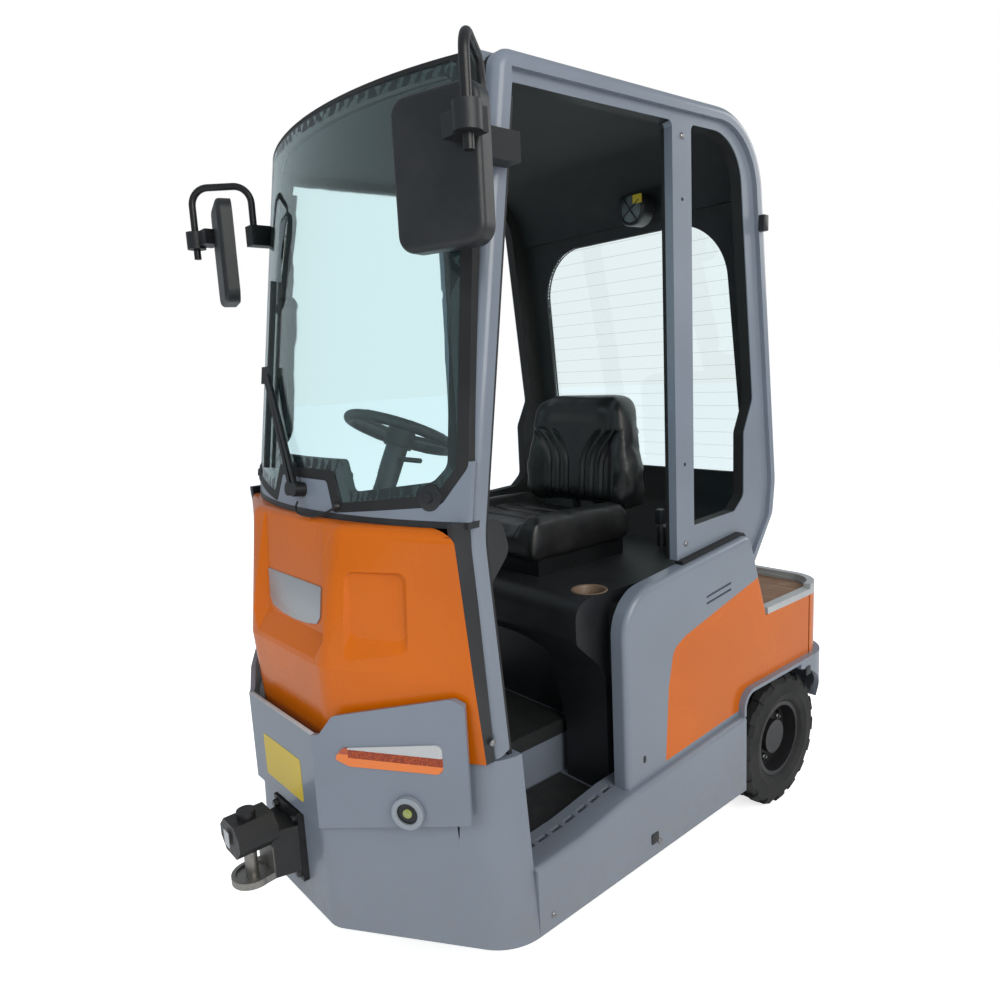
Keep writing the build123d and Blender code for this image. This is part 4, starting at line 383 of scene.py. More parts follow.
# Moulded plastic: grained dark panels of the dashboard, console, liner, rear wall,
# fender liners, trim bands and mirror shells.
DUST = (0.085, 0.083, 0.08)
DUST_SCALE = 6.0
DUST_ROUGH = 0.3
DARK_PLASTIC = (0.011, 0.0125, 0.015)
LINER_GREY = (0.020, 0.022, 0.024)
moulded_grain, grain_in, grain_out = start_group(
    "moulded_grain",
    (
        ("Color", "NodeSocketColor", (0.03, 0.03, 0.03, 1.0)),
        ("Roughness", "NodeSocketFloat", 0.5),
        ("Grain", "NodeSocketFloat", 900.0),
    ),
    (("Color", "NodeSocketColor"), ("Roughness", "NodeSocketFloat"), ("Height", "NodeSocketFloat")),
)
grain_coords = moulded_grain.nodes.new("ShaderNodeTexCoord").outputs["Object"]
grain_cells = moulded_grain.nodes.new("ShaderNodeTexVoronoi")
moulded_grain.links.new(grain_coords, grain_cells.inputs["Vector"])
moulded_grain.links.new(grain_in.outputs["Grain"], grain_cells.inputs["Scale"])
moulded_grain.links.new(grain_cells.outputs["Distance"], grain_out.inputs["Height"])
grain_dust = noise(moulded_grain, grain_coords, DUST_SCALE, 5.0, 0.6)
grain_mask = spread(moulded_grain, grain_dust, 0.42, 0.75, 0.0, 0.16)
grain_mix = blend_colour(moulded_grain, grain_mask, grain_in.outputs["Color"], DUST)
moulded_grain.links.new(grain_mix, grain_out.inputs["Color"])
grain_chalk = sums(moulded_grain, "MULTIPLY", grain_mask, DUST_ROUGH)
grain_rough = sums(moulded_grain, "ADD", grain_in.outputs["Roughness"], grain_chalk)
moulded_grain.links.new(grain_rough, grain_out.inputs["Roughness"])


def moulded(name, colour, rough, grain, depth=0.0006):
    """Grained plastic or rubber under a little settled dust."""
    made, tree, surface, _ = shader(name)
    skin = place_group(tree, moulded_grain, Color=(*colour, 1.0), Roughness=rough, Grain=grain)
    tree.links.new(skin["Color"], surface.inputs["Base Color"])
    tree.links.new(skin["Roughness"], surface.inputs["Roughness"])
    bump(tree, surface, skin["Height"], 0.35, depth)
    return made


dark_moulding = moulded("dark_moulding", DARK_PLASTIC, 0.40, 900.0)
dress(dark_moulding, "dashboard", "seat_console", "nose_seal")
dress(dark_moulding, "fender_liners", "mirror_heads", "steering_column")
liner_felt = moulded("liner_felt", LINER_GREY, 0.75, 1400.0)
dress(liner_felt, "roof_liner", "rear_wall")

# Rubber: extruded seals round the screen and doors, trim strips, the steering wheel's
# grip, and the ribbed mats and pedal pads.
RUBBER_BLACK = (0.008, 0.009, 0.010)
rubber = moulded("rubber", RUBBER_BLACK, 0.55, 500.0, 0.0004)
dress(rubber, "windscreen_seal", "door_seals", "flank_trims", "steering_wheel")
MAT_RIB = 55.0
MAT_BLACK = (0.012, 0.014, 0.016, 1.0)
mat_rubber, mat_tree, mat_face, mat_coords = shader("mat_rubber")
mat_skin = place_group(mat_tree, moulded_grain, Color=MAT_BLACK, Roughness=0.6, Grain=700.0)
mat_wave = mat_tree.nodes.new("ShaderNodeTexWave")
mat_wave.bands_direction = "Y"
mat_wave.wave_profile = "SIN"
mat_wave.inputs["Scale"].default_value = MAT_RIB
mat_tree.links.new(mat_coords, mat_wave.inputs["Vector"])
mat_dirt = place_group(
    mat_tree, road_grime, Color=mat_skin["Color"], Roughness=mat_skin["Roughness"], Level=0.6, Amount=0.12
)
mat_tree.links.new(mat_dirt["Color"], mat_face.inputs["Base Color"])
mat_tree.links.new(mat_dirt["Roughness"], mat_face.inputs["Roughness"])
bump(mat_tree, mat_face, mat_wave.outputs["Fac"], 0.6, 0.002)
dress(mat_rubber, "floor_mats", "pedals")

# Black and bare metal: powder-coated arms, handles and seat slides, the axle and fork,
# and a towing jaw whose pin and dished lip are worn to bright steel.
JAW_BACK = 0.8365
JAW_TOP = 0.318
JAW_FADE = 0.004
COAT_BLACK = (0.007, 0.0075, 0.0085)
JAW_BLACK = (0.012, 0.012, 0.013, 1.0)
JAW_BRIGHT = (0.34, 0.33, 0.31)


def coated(name, colour, rough):
    """Powder coat: the paint film with a coarser peel and no clear coat."""
    made, tree, surface, _ = shader(name)
    film = place_group(tree, paint_film, Color=(*colour, 1.0), Roughness=rough)
    tree.links.new(film["Color"], surface.inputs["Base Color"])
    tree.links.new(film["Roughness"], surface.inputs["Roughness"])
    bump(tree, surface, film["Height"], 0.25, 0.001)
    return made


black_coat = coated("black_coat", COAT_BLACK, 0.38)
dress(black_coat, "mirror_arms", "wiper", "grab_handles", "seat_base", "work_lamp")
dress(black_coat, "rear_coupling", "drive_axle", "steer_fork", "battery_block")
jaw_metal, jaw_tree, jaw_face, jaw_coords = shader("jaw_metal")
jaw_film = place_group(jaw_tree, paint_film, Color=JAW_BLACK, Roughness=0.4)
jaw_low = spread(jaw_tree, axis_value(jaw_tree, jaw_coords, 2), JAW_TOP - EDGE_BLEND, JAW_TOP, 1.0, 0.0)
jaw_out = spread(jaw_tree, axis_value(jaw_tree, jaw_coords, 0), JAW_BACK - JAW_FADE, JAW_BACK, 0.0, 1.0)
jaw_wear = noise(jaw_tree, jaw_coords, 90.0, 6.0, 0.7)
jaw_mask = sums(jaw_tree, "MULTIPLY", jaw_low, jaw_out)
jaw_mask = sums(jaw_tree, "MULTIPLY", jaw_mask, spread(jaw_tree, jaw_wear, 0.35, 0.5, 0.55, 1.0))
jaw_colour = blend_colour(jaw_tree, jaw_mask, jaw_film["Color"], JAW_BRIGHT)
jaw_tree.links.new(jaw_colour, jaw_face.inputs["Base Color"])
jaw_tree.links.new(jaw_mask, jaw_face.inputs["Metallic"])
jaw_tree.links.new(spread(jaw_tree, jaw_wear, 0.3, 0.7, 0.32, 0.55), jaw_face.inputs["Roughness"])
bump(jaw_tree, jaw_face, jaw_wear, 0.25, 0.001)
dress(jaw_metal, "front_coupling")

# Glass: a bent laminated windscreen with a light teal tint, and a flat rear pane with
# fine heating wires.
HEAT_PITCH = 26.0
HEAT_WIRE = (0.22, 0.19, 0.15)
SCREEN_TINT = (0.66, 0.87, 0.89)
PANE_TINT = (0.80, 0.90, 0.91)


def glazed(name, tint, wires):
    """Tinted glass that lets light through, with heating wires or a thin haze."""
    made, tree, surface, coords = shader(name)
    surface.inputs["Base Color"].default_value = (*tint, 1.0)
    surface.inputs["Roughness"].default_value = 0.02
    surface.inputs["IOR"].default_value = 1.45
    surface.inputs["Transmission Weight"].default_value = 1.0
    clear = tree.nodes.new("ShaderNodeBsdfTransparent")
    clear.inputs["Color"].default_value = (*tint, 1.0)
    path = tree.nodes.new("ShaderNodeLightPath")
    either = sums(tree, "MAXIMUM", path.outputs["Is Shadow Ray"], path.outputs["Is Diffuse Ray"])
    mix = tree.nodes.new("ShaderNodeMixShader")
    tree.links.new(either, mix.inputs[0])
    tree.links.new(surface.outputs[0], mix.inputs[1])
    tree.links.new(clear.outputs[0], mix.inputs[2])
    tree.links.new(mix.outputs[0], tree.nodes["Material Output"].inputs["Surface"])
    if wires:
        height = axis_value(tree, coords, 2)
        saw = sums(tree, "FRACT", sums(tree, "MULTIPLY", height, HEAT_PITCH), 0.0)
        line = spread(tree, saw, 0.022, 0.028, 0.55, 0.0)
        colour = blend_colour(tree, line, tint, HEAT_WIRE)
        tree.links.new(colour, surface.inputs["Base Color"])
    else:
        film = noise(tree, coords, 5.0, 4.0)
        tree.links.new(spread(tree, film, 0.4, 0.7, 0.01, 0.05), surface.inputs["Roughness"])
    return made


dress(glazed("screen_glass", SCREEN_TINT, False), "windscreen")
dress(glazed("pane_glass", PANE_TINT, True), "rear_window")

# Lamp clusters: an amber tray with a bright J-shaped guide behind a clear ribbed lens,
# and two moulded red lamps at the rear.
LENS_RIB = 130.0
LENS_SPLIT = 0.5775
LENS_BLEND = 0.0008
LENS_CLEAR = (0.62, 0.64, 0.65)
LENS_RED = (0.42, 0.012, 0.01)
LENS_AMBER = ((0.62, 0.10, 0.008), (0.30, 0.035, 0.006))
GUIDE_TOP = 0.566
GUIDE_AMBER = (0.70, 0.16, 0.012)
TRAY_AMBER = ((0.62, 0.10, 0.010), (0.34, 0.04, 0.008))
amber_tray, amber_tree, amber_face, amber_coords = shader("amber_tray")
amber_grid = amber_tree.nodes.new("ShaderNodeTexVoronoi")
amber_grid.inputs["Scale"].default_value = 260.0
amber_tree.links.new(amber_coords, amber_grid.inputs["Vector"])
amber_z = axis_value(amber_tree, amber_coords, 2)
amber_low = spread(amber_tree, amber_z, GUIDE_TOP - EDGE_BLEND, GUIDE_TOP, 1.0, 0.0)
amber_spot = spread(amber_tree, amber_grid.outputs["Distance"], 0.1, 0.6, 0.0, 1.0)
amber_deep = blend_colour(amber_tree, amber_spot, *TRAY_AMBER)
amber_colour = blend_colour(amber_tree, amber_low, amber_deep, GUIDE_AMBER)
amber_tree.links.new(amber_colour, amber_face.inputs["Base Color"])
amber_face.inputs["Roughness"].default_value = 0.18
amber_face.inputs["Coat Weight"].default_value = 0.8
bump(amber_tree, amber_face, amber_grid.outputs["Distance"], 0.25, 0.001)
dress(amber_tray, "lamp_housings")


def lensed(name, colour, transmission, rib_axis):
    """Moulded lens with fine ribs, with painted shade darker between them."""
    made, tree, surface, coords = shader(name)
    wave = tree.nodes.new("ShaderNodeTexWave")
    wave.bands_direction = rib_axis
    wave.inputs["Scale"].default_value = LENS_RIB
    tree.links.new(coords, wave.inputs["Vector"])
    # Painted shade: the colour falls to 0.6 of itself between the ribs.
    rib_shade_amount = spread(tree, wave.outputs["Fac"], 0.0, 1.0, 0.8, 1.0)
    shade = blend_colour(tree, rib_shade_amount, tuple(0.6 * part for part in colour), colour)
    tree.links.new(shade, surface.inputs["Base Color"])
    surface.inputs["Roughness"].default_value = 0.08
    surface.inputs["Transmission Weight"].default_value = transmission
    bump(tree, surface, wave.outputs["Fac"], 0.35, 0.001)
    return made


clear_lens = lensed("clear_lens", LENS_CLEAR, 0.25, "Y")
lens_tree = clear_lens.node_tree
lens_face = lens_tree.nodes["Principled BSDF"]
lens_coords = lens_tree.nodes.new("ShaderNodeTexCoord").outputs["Object"]
lens_z = axis_value(lens_tree, lens_coords, 2)
lens_low = spread(lens_tree, lens_z, LENS_SPLIT - LENS_BLEND, LENS_SPLIT, 1.0, 0.0)
lens_cells = lens_tree.nodes.new("ShaderNodeTexVoronoi")
lens_cells.inputs["Scale"].default_value = 240.0
lens_tree.links.new(lens_coords, lens_cells.inputs["Vector"])
lens_spot = spread(lens_tree, lens_cells.outputs["Distance"], 0.1, 0.6, 0.0, 1.0)
lens_amber = blend_colour(lens_tree, lens_spot, *LENS_AMBER)
# The ribbed colour carries the painted shade between the ribs.
lens_rib_shade = lens_face.inputs["Base Color"].links[0].from_socket
lens_colour = blend_colour(lens_tree, lens_low, lens_rib_shade, lens_amber)
lens_tree.links.new(lens_colour, lens_face.inputs["Base Color"])
dress(clear_lens, "lamp_lenses")
dress(lensed("red_lens", LENS_RED, 0.25, "Y"), "tail_lamps")

# Load deck: a brown film-faced plywood board, rubbed paler where loads slide over it,
# let into a pale painted steel rim.
BOARD_DARK = (0.16, 0.085, 0.045)
BOARD_LIGHT = (0.27, 0.16, 0.095)
BOARD_WORN = (0.36, 0.27, 0.20)
RIM_PALE = (0.42, 0.44, 0.45)
board_wood, board_tree, board_face, board_coords = shader("board_wood")
board_map = board_tree.nodes.new("ShaderNodeMapping")
board_map.inputs["Scale"].default_value = (60.0, 3.0, 3.0)
board_tree.links.new(board_coords, board_map.inputs["Vector"])
board_grain = noise(board_tree, board_map.outputs[0], 2.0, 6.0, 0.6)
board_worn = noise(board_tree, board_coords, 14.0, 6.0, 0.6)
board_streak = spread(board_tree, board_grain, 0.3, 0.7, 0.0, 1.0)
board_tone = blend_colour(board_tree, board_streak, BOARD_DARK, BOARD_LIGHT)
board_rub = spread(board_tree, board_worn, 0.55, 0.75, 0.0, 0.5)
board_colour = blend_colour(board_tree, board_rub, board_tone, BOARD_WORN)
board_tree.links.new(board_colour, board_face.inputs["Base Color"])
board_face.inputs["Roughness"].default_value = 0.62
bump(board_tree, board_face, board_grain, 0.3, 0.0008)
dress(board_wood, "rear_deck")
dress(painted("rim_paint", RIM_PALE, rough=0.4, coat=0.1, grime=0.3, level=0.9), "deck_rim")

# Tyres: solid rubber on pressed steel rims, moulded with shoulder lugs, a centre rib
# between two grooves and a raised ring on the sidewall.
MM_IN_M = 1000.0
AXLE_TO_MIDDLE = 570.0
TREAD_STEPS = 34
LUG = 8.0
GROOVE = 5.0
SHOULDER = 34.0
REAR_LEFT_HUB = (0, 410, 198)
REAR_RIGHT_HUB = (0, -410, 198)
FRONT_HUB = (1060, 0, 178)
REAR_TYRE = (198.0, 57.0, 112.0)
FRONT_TYRE = (178.0, 53.0, 96.0)
TYRE_BLACK = (0.007, 0.0075, 0.0085, 1.0)
TYRE_DUST = (0.10, 0.085, 0.065)


def from_axle(x, y, z):
    """Row frame point from millimetres ahead of the rear axle, left of centre and above ground."""
    return Vector(((x - AXLE_TO_MIDDLE) / MM_IN_M, y / MM_IN_M, z / MM_IN_M))


def merge(bm, own):
    """Adds the finished bmesh own to bm and frees it."""
    spare = bpy.data.meshes.new("spare")
    own.to_mesh(spare)
    own.free()
    bm.from_mesh(spare)
    bpy.data.meshes.remove(spare)


def lathe(bm, profile, steps, place, axis):
    """Adds a turned solid to bm: profile holds (radius, along) in mm, the axis is a direction."""
    own = bmesh.new()
    points = [own.verts.new((radius / MM_IN_M, 0.0, along / MM_IN_M)) for radius, along in profile]
    lines = [own.edges.new(pair) for pair in zip(points, points[1:])]
    bmesh.ops.spin(
        own, geom=points + lines, cent=(0, 0, 0), axis=(0, 0, 1), angle=math.tau, steps=steps, use_merge=True
    )
    bmesh.ops.remove_doubles(own, verts=own.verts, dist=1e-6)
    bmesh.ops.recalc_face_normals(own, faces=own.faces)
    turn = Vector(axis).to_track_quat("Z", "Y").to_matrix().to_4x4()
    bmesh.ops.transform(own, matrix=Matrix.Translation(place) @ turn, verts=own.verts)
    merge(bm, own)


def fixed(made, stuff, body):
    """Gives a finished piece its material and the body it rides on."""
    made.data.materials.append(stuff)
    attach(made, body)
    return made


tyre_rubber, tyre_tree, tyre_face, tyre_coords = shader("tyre_rubber")
tyre_skin = place_group(tyre_tree, moulded_grain, Color=TYRE_BLACK, Roughness=0.7, Grain=420.0)
tyre_dust = noise(tyre_tree, tyre_coords, 22.0, 6.0, 0.65)
tyre_mask = spread(tyre_tree, tyre_dust, 0.48, 0.8, 0.0, 0.16)
tyre_colour = blend_colour(tyre_tree, tyre_mask, tyre_skin["Color"], TYRE_DUST)
tyre_tree.links.new(tyre_colour, tyre_face.inputs["Base Color"])
tyre_face.inputs["Roughness"].default_value = 0.75
bump(tyre_tree, tyre_face, tyre_skin["Height"], 0.4, 0.001)


def tyre(node, body, centre, radius, half, rim):
    """Tread and sidewalls turned from half a profile, then every other shoulder field raised as a lug."""
    carcass = radius - LUG
    side = [
        (rim + 1.0, half - 15.0), (rim + 9.0, half - 5.0), (rim + 24.0, half - 1.0), (rim + 29.0, half + 1.0),
        (rim + 34.0, half - 1.0), (carcass - 14.0, half - 2.0), (carcass, half - 11.0),
        (carcass + 1.0, half - SHOULDER), (carcass - GROOVE, half - 36.0), (carcass - GROOVE, half - 44.0),
        (radius - 2.0, half - 46.0),
    ]
    profile = side + [(r, -along) for r, along in reversed(side)]
    bm = bmesh.new()
    lathe(bm, profile + [profile[0]], TREAD_STEPS, centre, (0, 1, 0))
    lugs = []
    for face in bm.faces:
        spot = face.calc_center_median() - centre
        reach = math.hypot(spot.x, spot.z) * MM_IN_M
        aside = abs(spot.y) * MM_IN_M
        if carcass - 12.0 < reach < radius and half - SHOULDER < aside < half - 1.0:
            turn = math.atan2(spot.z, spot.x) / math.tau * TREAD_STEPS
            if (math.floor(turn) + (1 if spot.y > 0 else 0)) % 2 == 0:
                lugs.append(face)
    made = bmesh.ops.extrude_face_region(bm, geom=lugs)
    for vert in (entry for entry in made["geom"] if isinstance(entry, bmesh.types.BMVert)):
        out = Vector((vert.co.x - centre.x, 0.0, vert.co.z - centre.z)).normalized()
        vert.co += out * (LUG / MM_IN_M)
    bmesh.ops.delete(bm, geom=lugs, context="FACES")
    bmesh.ops.recalc_face_normals(bm, faces=bm.faces)
    made = fixed(mesh_object(f"{node}_tread", bm, 30.0), tyre_rubber, body)
    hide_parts(node)


tyre("rear_tyre_left", "rear_wheel_left", from_axle(*REAR_LEFT_HUB), *REAR_TYRE)
tyre("rear_tyre_right", "rear_wheel_right", from_axle(*REAR_RIGHT_HUB), *REAR_TYRE)
tyre("front_tyre", "front_wheel", from_axle(*FRONT_HUB), *FRONT_TYRE)

# Wheels: black pressed steel rims, each held to its hub by a ring of zinc nuts on studs,
# on both sides of the front wheel and on the outer side of the rear ones.
NUT_RING = 68.0
NUT_COUNT = 5
NUT_OUT = 1.5
NUT_PROFILE = [(0, 0), (9, 0), (9, 8), (7.5, 10), (4.5, 10), (4.5, 15), (0, 16)]
HEX_STEPS = 6
RIM_BLACK = (0.016, 0.016, 0.018)
ZINC_BRIGHT = (0.34, 0.35, 0.36)
ZINC_DULL = (0.20, 0.19, 0.18)
dress(coated("rim_coat", RIM_BLACK, 0.42), "rear_rim_left", "rear_rim_right", "front_rim")
zinc, zinc_tree, zinc_face, zinc_coords = shader("zinc")
zinc_face.inputs["Metallic"].default_value = 1.0
zinc_wear = noise(zinc_tree, zinc_coords, 160.0, 4.0)
zinc_spots = spread(zinc_tree, zinc_wear, 0.35, 0.7, 0.0, 1.0)
zinc_colour = blend_colour(zinc_tree, zinc_spots, ZINC_BRIGHT, ZINC_DULL)
zinc_tree.links.new(zinc_colour, zinc_face.inputs["Base Color"])
zinc_tree.links.new(spread(zinc_tree, zinc_wear, 0.3, 0.7, 0.3, 0.5), zinc_face.inputs["Roughness"])
for name, body, centre, sides in (
    ("rear_left", "rear_wheel_left", REAR_LEFT_HUB, (1,)),
    ("rear_right", "rear_wheel_right", REAR_RIGHT_HUB, (-1,)),
    ("front", "front_wheel", FRONT_HUB, (1, -1)),
):
    nuts = bmesh.new()
    for side in sides:
        for count in range(NUT_COUNT):
            turn = math.tau * count / NUT_COUNT
            spot = from_axle(
                centre[0] + NUT_RING * math.cos(turn),
                centre[1] + side * NUT_OUT,
                centre[2] + NUT_RING * math.sin(turn),
            )
            lathe(nuts, NUT_PROFILE, HEX_STEPS, spot, (0, side, 0))
    fixed(mesh_object(f"{name}_wheel_nuts", nuts, 25.0), zinc, body)

# Hood plate and labels: a blank brushed plate with rounded lower corners glued to the hood's
# central face, a blank yellow film on the bumper plate, and a pale film on the jaw.
BEVEL_STEPS = 2
CORNER_STEPS = 4
FACE_LEAN = 0.0749
PLATE_TONES = ((0.36, 0.38, 0.40), (0.46, 0.48, 0.50))
LABEL_TONES = ((0.62, 0.44, 0.02), (0.54, 0.40, 0.05))
PALE_TONES = ((0.42, 0.45, 0.48), (0.52, 0.54, 0.56))


def prism(bm, outline, place, across, up, depth, edge=0.0):
    """Adds a plate to bm: outline in mm on the plane of across and up, thickened along their normal."""
    own = bmesh.new()
    across = Vector(across).normalized()
    up = Vector(up).normalized()
    out = across.cross(up)
    points = [own.verts.new(Vector(place) + across * (u / MM_IN_M) + up * (v / MM_IN_M)) for u, v in outline]
    face = own.faces.new(points)
    made = bmesh.ops.extrude_face_region(own, geom=[face])
    lifted = [entry for entry in made["geom"] if isinstance(entry, bmesh.types.BMVert)]
    bmesh.ops.translate(own, vec=out * (depth / MM_IN_M), verts=lifted)
    bmesh.ops.recalc_face_normals(own, faces=own.faces)
    if edge:
        top = [entry for entry in own.edges if all(vert in lifted for vert in entry.verts)]
        bmesh.ops.bevel(
            own, geom=top, offset=edge / MM_IN_M, segments=BEVEL_STEPS, affect="EDGES", profile=0.5,
            material=-1,
        )
    merge(bm, own)


def rounded(half_u, half_v, radius):
    """Outline of a rectangle with rounded corners, counter-clockwise, in mm."""
    made = []
    for corner, (sign_u, sign_v) in enumerate(((1, 1), (-1, 1), (-1, -1), (1, -1))):
        for step in range(CORNER_STEPS + 1):
            angle = math.pi / 2 * (corner + step / CORNER_STEPS)
            made.append((
                sign_u * (half_u - radius) + radius * math.cos(angle),
                sign_v * (half_v - radius) + radius * math.sin(angle),
            ))
    return made


badge_bm = bmesh.new()
badge_line = [
    (-128, 46), (-121, -22), (-106, -38), (-60, -46), (0, -49),
    (60, -46), (106, -38), (121, -22), (128, 46),
]
badge_up = Vector((-FACE_LEAN, 0, 1))
prism(badge_bm, badge_line, from_axle(1277.8, 0, 850), (0, 1, 0), badge_up, 3.5, 1.2)
badge_metal, badge_tree, badge_face, badge_coords = shader("badge_metal")
badge_map = badge_tree.nodes.new("ShaderNodeMapping")
badge_map.inputs["Scale"].default_value = (1.0, 2.0, 160.0)
badge_tree.links.new(badge_coords, badge_map.inputs["Vector"])
badge_brush = noise(badge_tree, badge_map.outputs[0], 8.0, 3.0)
badge_tree.links.new(blend_colour(badge_tree, badge_brush, *PLATE_TONES), badge_face.inputs["Base Color"])
badge_face.inputs["Metallic"].default_value = 0.55
badge_face.inputs["Roughness"].default_value = 0.34
bump(badge_tree, badge_face, badge_brush, 0.15, 0.0004)
fixed(mesh_object("hood_plate", badge_bm, 30.0), badge_metal, "chassis")

label_bm = bmesh.new()
prism(label_bm, rounded(92, 50, 8), from_axle(1344.6, 0, 470), (0, 1, 0), (0, 0, 1), 1.2)
label_film, label_tree, label_face, label_coords = shader("label_film")
label_fade = noise(label_tree, label_coords, 9.0, 4.0)
label_tree.links.new(blend_colour(label_tree, label_fade, *LABEL_TONES), label_face.inputs["Base Color"])
label_face.inputs["Roughness"].default_value = 0.38
fixed(mesh_object("blank_label", label_bm), label_film, "chassis")

sticker_bm = bmesh.new()
prism(sticker_bm, rounded(13, 18, 2), from_axle(1485, -4, 356), (0, 1, 0), (0, 0, 1), 0.8)
pale_film, pale_tree, pale_face, pale_coords = shader("pale_film")
pale_fade = noise(pale_tree, pale_coords, 60.0, 4.0)
pale_tree.links.new(blend_colour(pale_tree, pale_fade, *PALE_TONES), pale_face.inputs["Base Color"])
pale_face.inputs["Roughness"].default_value = 0.4
fixed(mesh_object("blank_sticker", sticker_bm), pale_film, "chassis")
# A thin pale strip laid flat along the top edge of the bumper plate, above the label.
edge_bm = bmesh.new()
edge_line = [(-5, -154), (5, -154), (5, 154), (-5, 154)]
prism(edge_bm, edge_line, from_axle(1340, 0, 599.8), (1, 0, 0), (0, 1, 0), 0.8, 0.3)
fixed(mesh_object("pale_plate_edge", edge_bm), pale_film, "chassis")

# Seat: foam moulded under black vinyl, the cushion with raised side bolsters and the back
# with pressed channels, on a steel strut.
PAD_FRAMES = 20
PAD_VOXEL = 0.006
PAD_CAP = 0.012
PAD_SMOOTH = 14
PAD_SHRINK = 0.975
PAD_PRESSURE = 4.0
VINYL_TONES = ((0.010, 0.010, 0.011), (0.022, 0.021, 0.020))
vinyl, vinyl_tree, vinyl_face, vinyl_coords = shader("vinyl")
vinyl_cells = vinyl_tree.nodes.new("ShaderNodeTexVoronoi")
vinyl_cells.inputs["Scale"].default_value = 620.0
vinyl_tree.links.new(vinyl_coords, vinyl_cells.inputs["Vector"])
vinyl_soil = noise(vinyl_tree, vinyl_coords, 9.0, 5.0)
vinyl_mask = spread(vinyl_tree, vinyl_soil, 0.45, 0.75, 0.0, 1.0)
vinyl_tree.links.new(blend_colour(vinyl_tree, vinyl_mask, *VINYL_TONES), vinyl_face.inputs["Base Color"])
vinyl_tree.links.new(spread(vinyl_tree, vinyl_soil, 0.35, 0.7, 0.30, 0.44), vinyl_face.inputs["Roughness"])
bump(vinyl_tree, vinyl_face, vinyl_cells.outputs["Distance"], 0.22, 0.0006)


def inflated(name, node, cut):
    """Copy of a CAD pad, remeshed, blown up as cloth with a cap on its movement, and made finer."""
    bm = bmesh.new()
    bm.from_mesh(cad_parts[node].data)
    bmesh.ops.remove_doubles(bm, verts=bm.verts, dist=1e-5)
    if cut is not None:
        sliced = bmesh.ops.bisect_plane(
            bm, geom=bm.verts[:] + bm.edges[:] + bm.faces[:],
            plane_co=cut[0], plane_no=cut[1], clear_inner=True,
        )
        rim = [entry for entry in sliced["geom_cut"] if isinstance(entry, bmesh.types.BMEdge)]
        bmesh.ops.holes_fill(bm, edges=rim, sides=0)
    middle = sum((vert.co for vert in bm.verts), Vector()) / len(bm.verts)
    for vert in bm.verts:
        vert.co = middle + (vert.co - middle) * PAD_SHRINK
    pad = mesh_object(name, bm)
    grid = pad.modifiers.new("grid", "REMESH")
    grid.mode = "VOXEL"
    grid.voxel_size = PAD_VOXEL
    pad.data = bpy.data.meshes.new_from_object(pad.evaluated_get(bpy.context.evaluated_depsgraph_get()))
    pad.modifiers.clear()
    rest = [vert.co.copy() for vert in pad.data.vertices]
    cloth = pad.modifiers.new("cloth", "CLOTH")
    cloth.settings.use_pressure = True
    cloth.settings.uniform_pressure_force = PAD_PRESSURE
    cloth.settings.effector_weights.gravity = 0.0
    cloth.point_cache.frame_start = 1
    cloth.point_cache.frame_end = PAD_FRAMES
    for step in range(1, PAD_FRAMES + 1):
        scene.frame_set(step)
    swollen = bpy.data.meshes.new_from_object(pad.evaluated_get(bpy.context.evaluated_depsgraph_get()))
    pad.modifiers.clear()
    pad.data = swollen
    scene.frame_set(1)
    for vert, before in zip(pad.data.vertices, rest):
        moved = vert.co - before
        if moved.length > PAD_CAP:
            vert.co = before + moved * (PAD_CAP / moved.length)
    eased = bmesh.new()
    eased.from_mesh(pad.data)
    for _ in range(PAD_SMOOTH):
        bmesh.ops.smooth_vert(
            eased, verts=eased.verts, factor=0.5, use_axis_x=True, use_axis_y=True, use_axis_z=True
        )
    eased.to_mesh(pad.data)
    eased.free()
    finer = pad.modifiers.new("finer", "SUBSURF")
    finer.levels = 1
    finer.render_levels = 1
    pad.data = bpy.data.meshes.new_from_object(pad.evaluated_get(bpy.context.evaluated_depsgraph_get()))
    pad.modifiers.clear()
    return pad


def dip(distance, width, depth):
    """Depth of a sewn channel at a distance from its line."""
    return depth * math.exp(-((distance / width) ** 2))


def ease(value, low, high):
    """Smooth step from 0 at low to 1 at high."""
    part = min(1.0, max(0.0, (value - low) / (high - low)))
    return part * part * (3.0 - 2.0 * part)


BOLSTER_LIFT = 0.020
MIDDLE_DROP = 0.010
WELT_Y = 0.142
WELT_WIDTH = 0.007
WELT_DEPTH = 0.009
SEAMS = (0.13, 0.20, 0.27)
SEAM_BOW = 0.02
SEAM_DEPTH = 0.006
FRONT_PULL = 0.006
cushion = inflated("seat_cushion_pad", "seat_cushion", None)
cushion_low, cushion_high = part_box("seat_cushion")
for vert in cushion.data.vertices:
    spot = vert.co
    upper = ease(spot.z, cushion_high.z - 0.03, cushion_high.z - 0.005)
    aside = abs(spot.y)
    lift = BOLSTER_LIFT * ease(aside, 0.125, 0.165) - MIDDLE_DROP * (1.0 - ease(aside, 0.09, 0.15))
    lift -= dip(aside - WELT_Y, WELT_WIDTH, WELT_DEPTH)
    along = spot.x - cushion_low.x
    if aside < WELT_Y:
        for seam in SEAMS:
            lift -= dip(along - seam - SEAM_BOW * (aside / 0.14) ** 2, WELT_WIDTH, SEAM_DEPTH)
    spot.z += upper * lift
    pull = FRONT_PULL * math.cos(min(1.0, aside / 0.22) * math.pi / 2)
    spot.x -= pull * ease(spot.x, cushion_high.x - 0.03, cushion_high.x)
cushion.data.shade_smooth()
fixed(cushion, vinyl, "chassis")
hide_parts("seat_cushion")

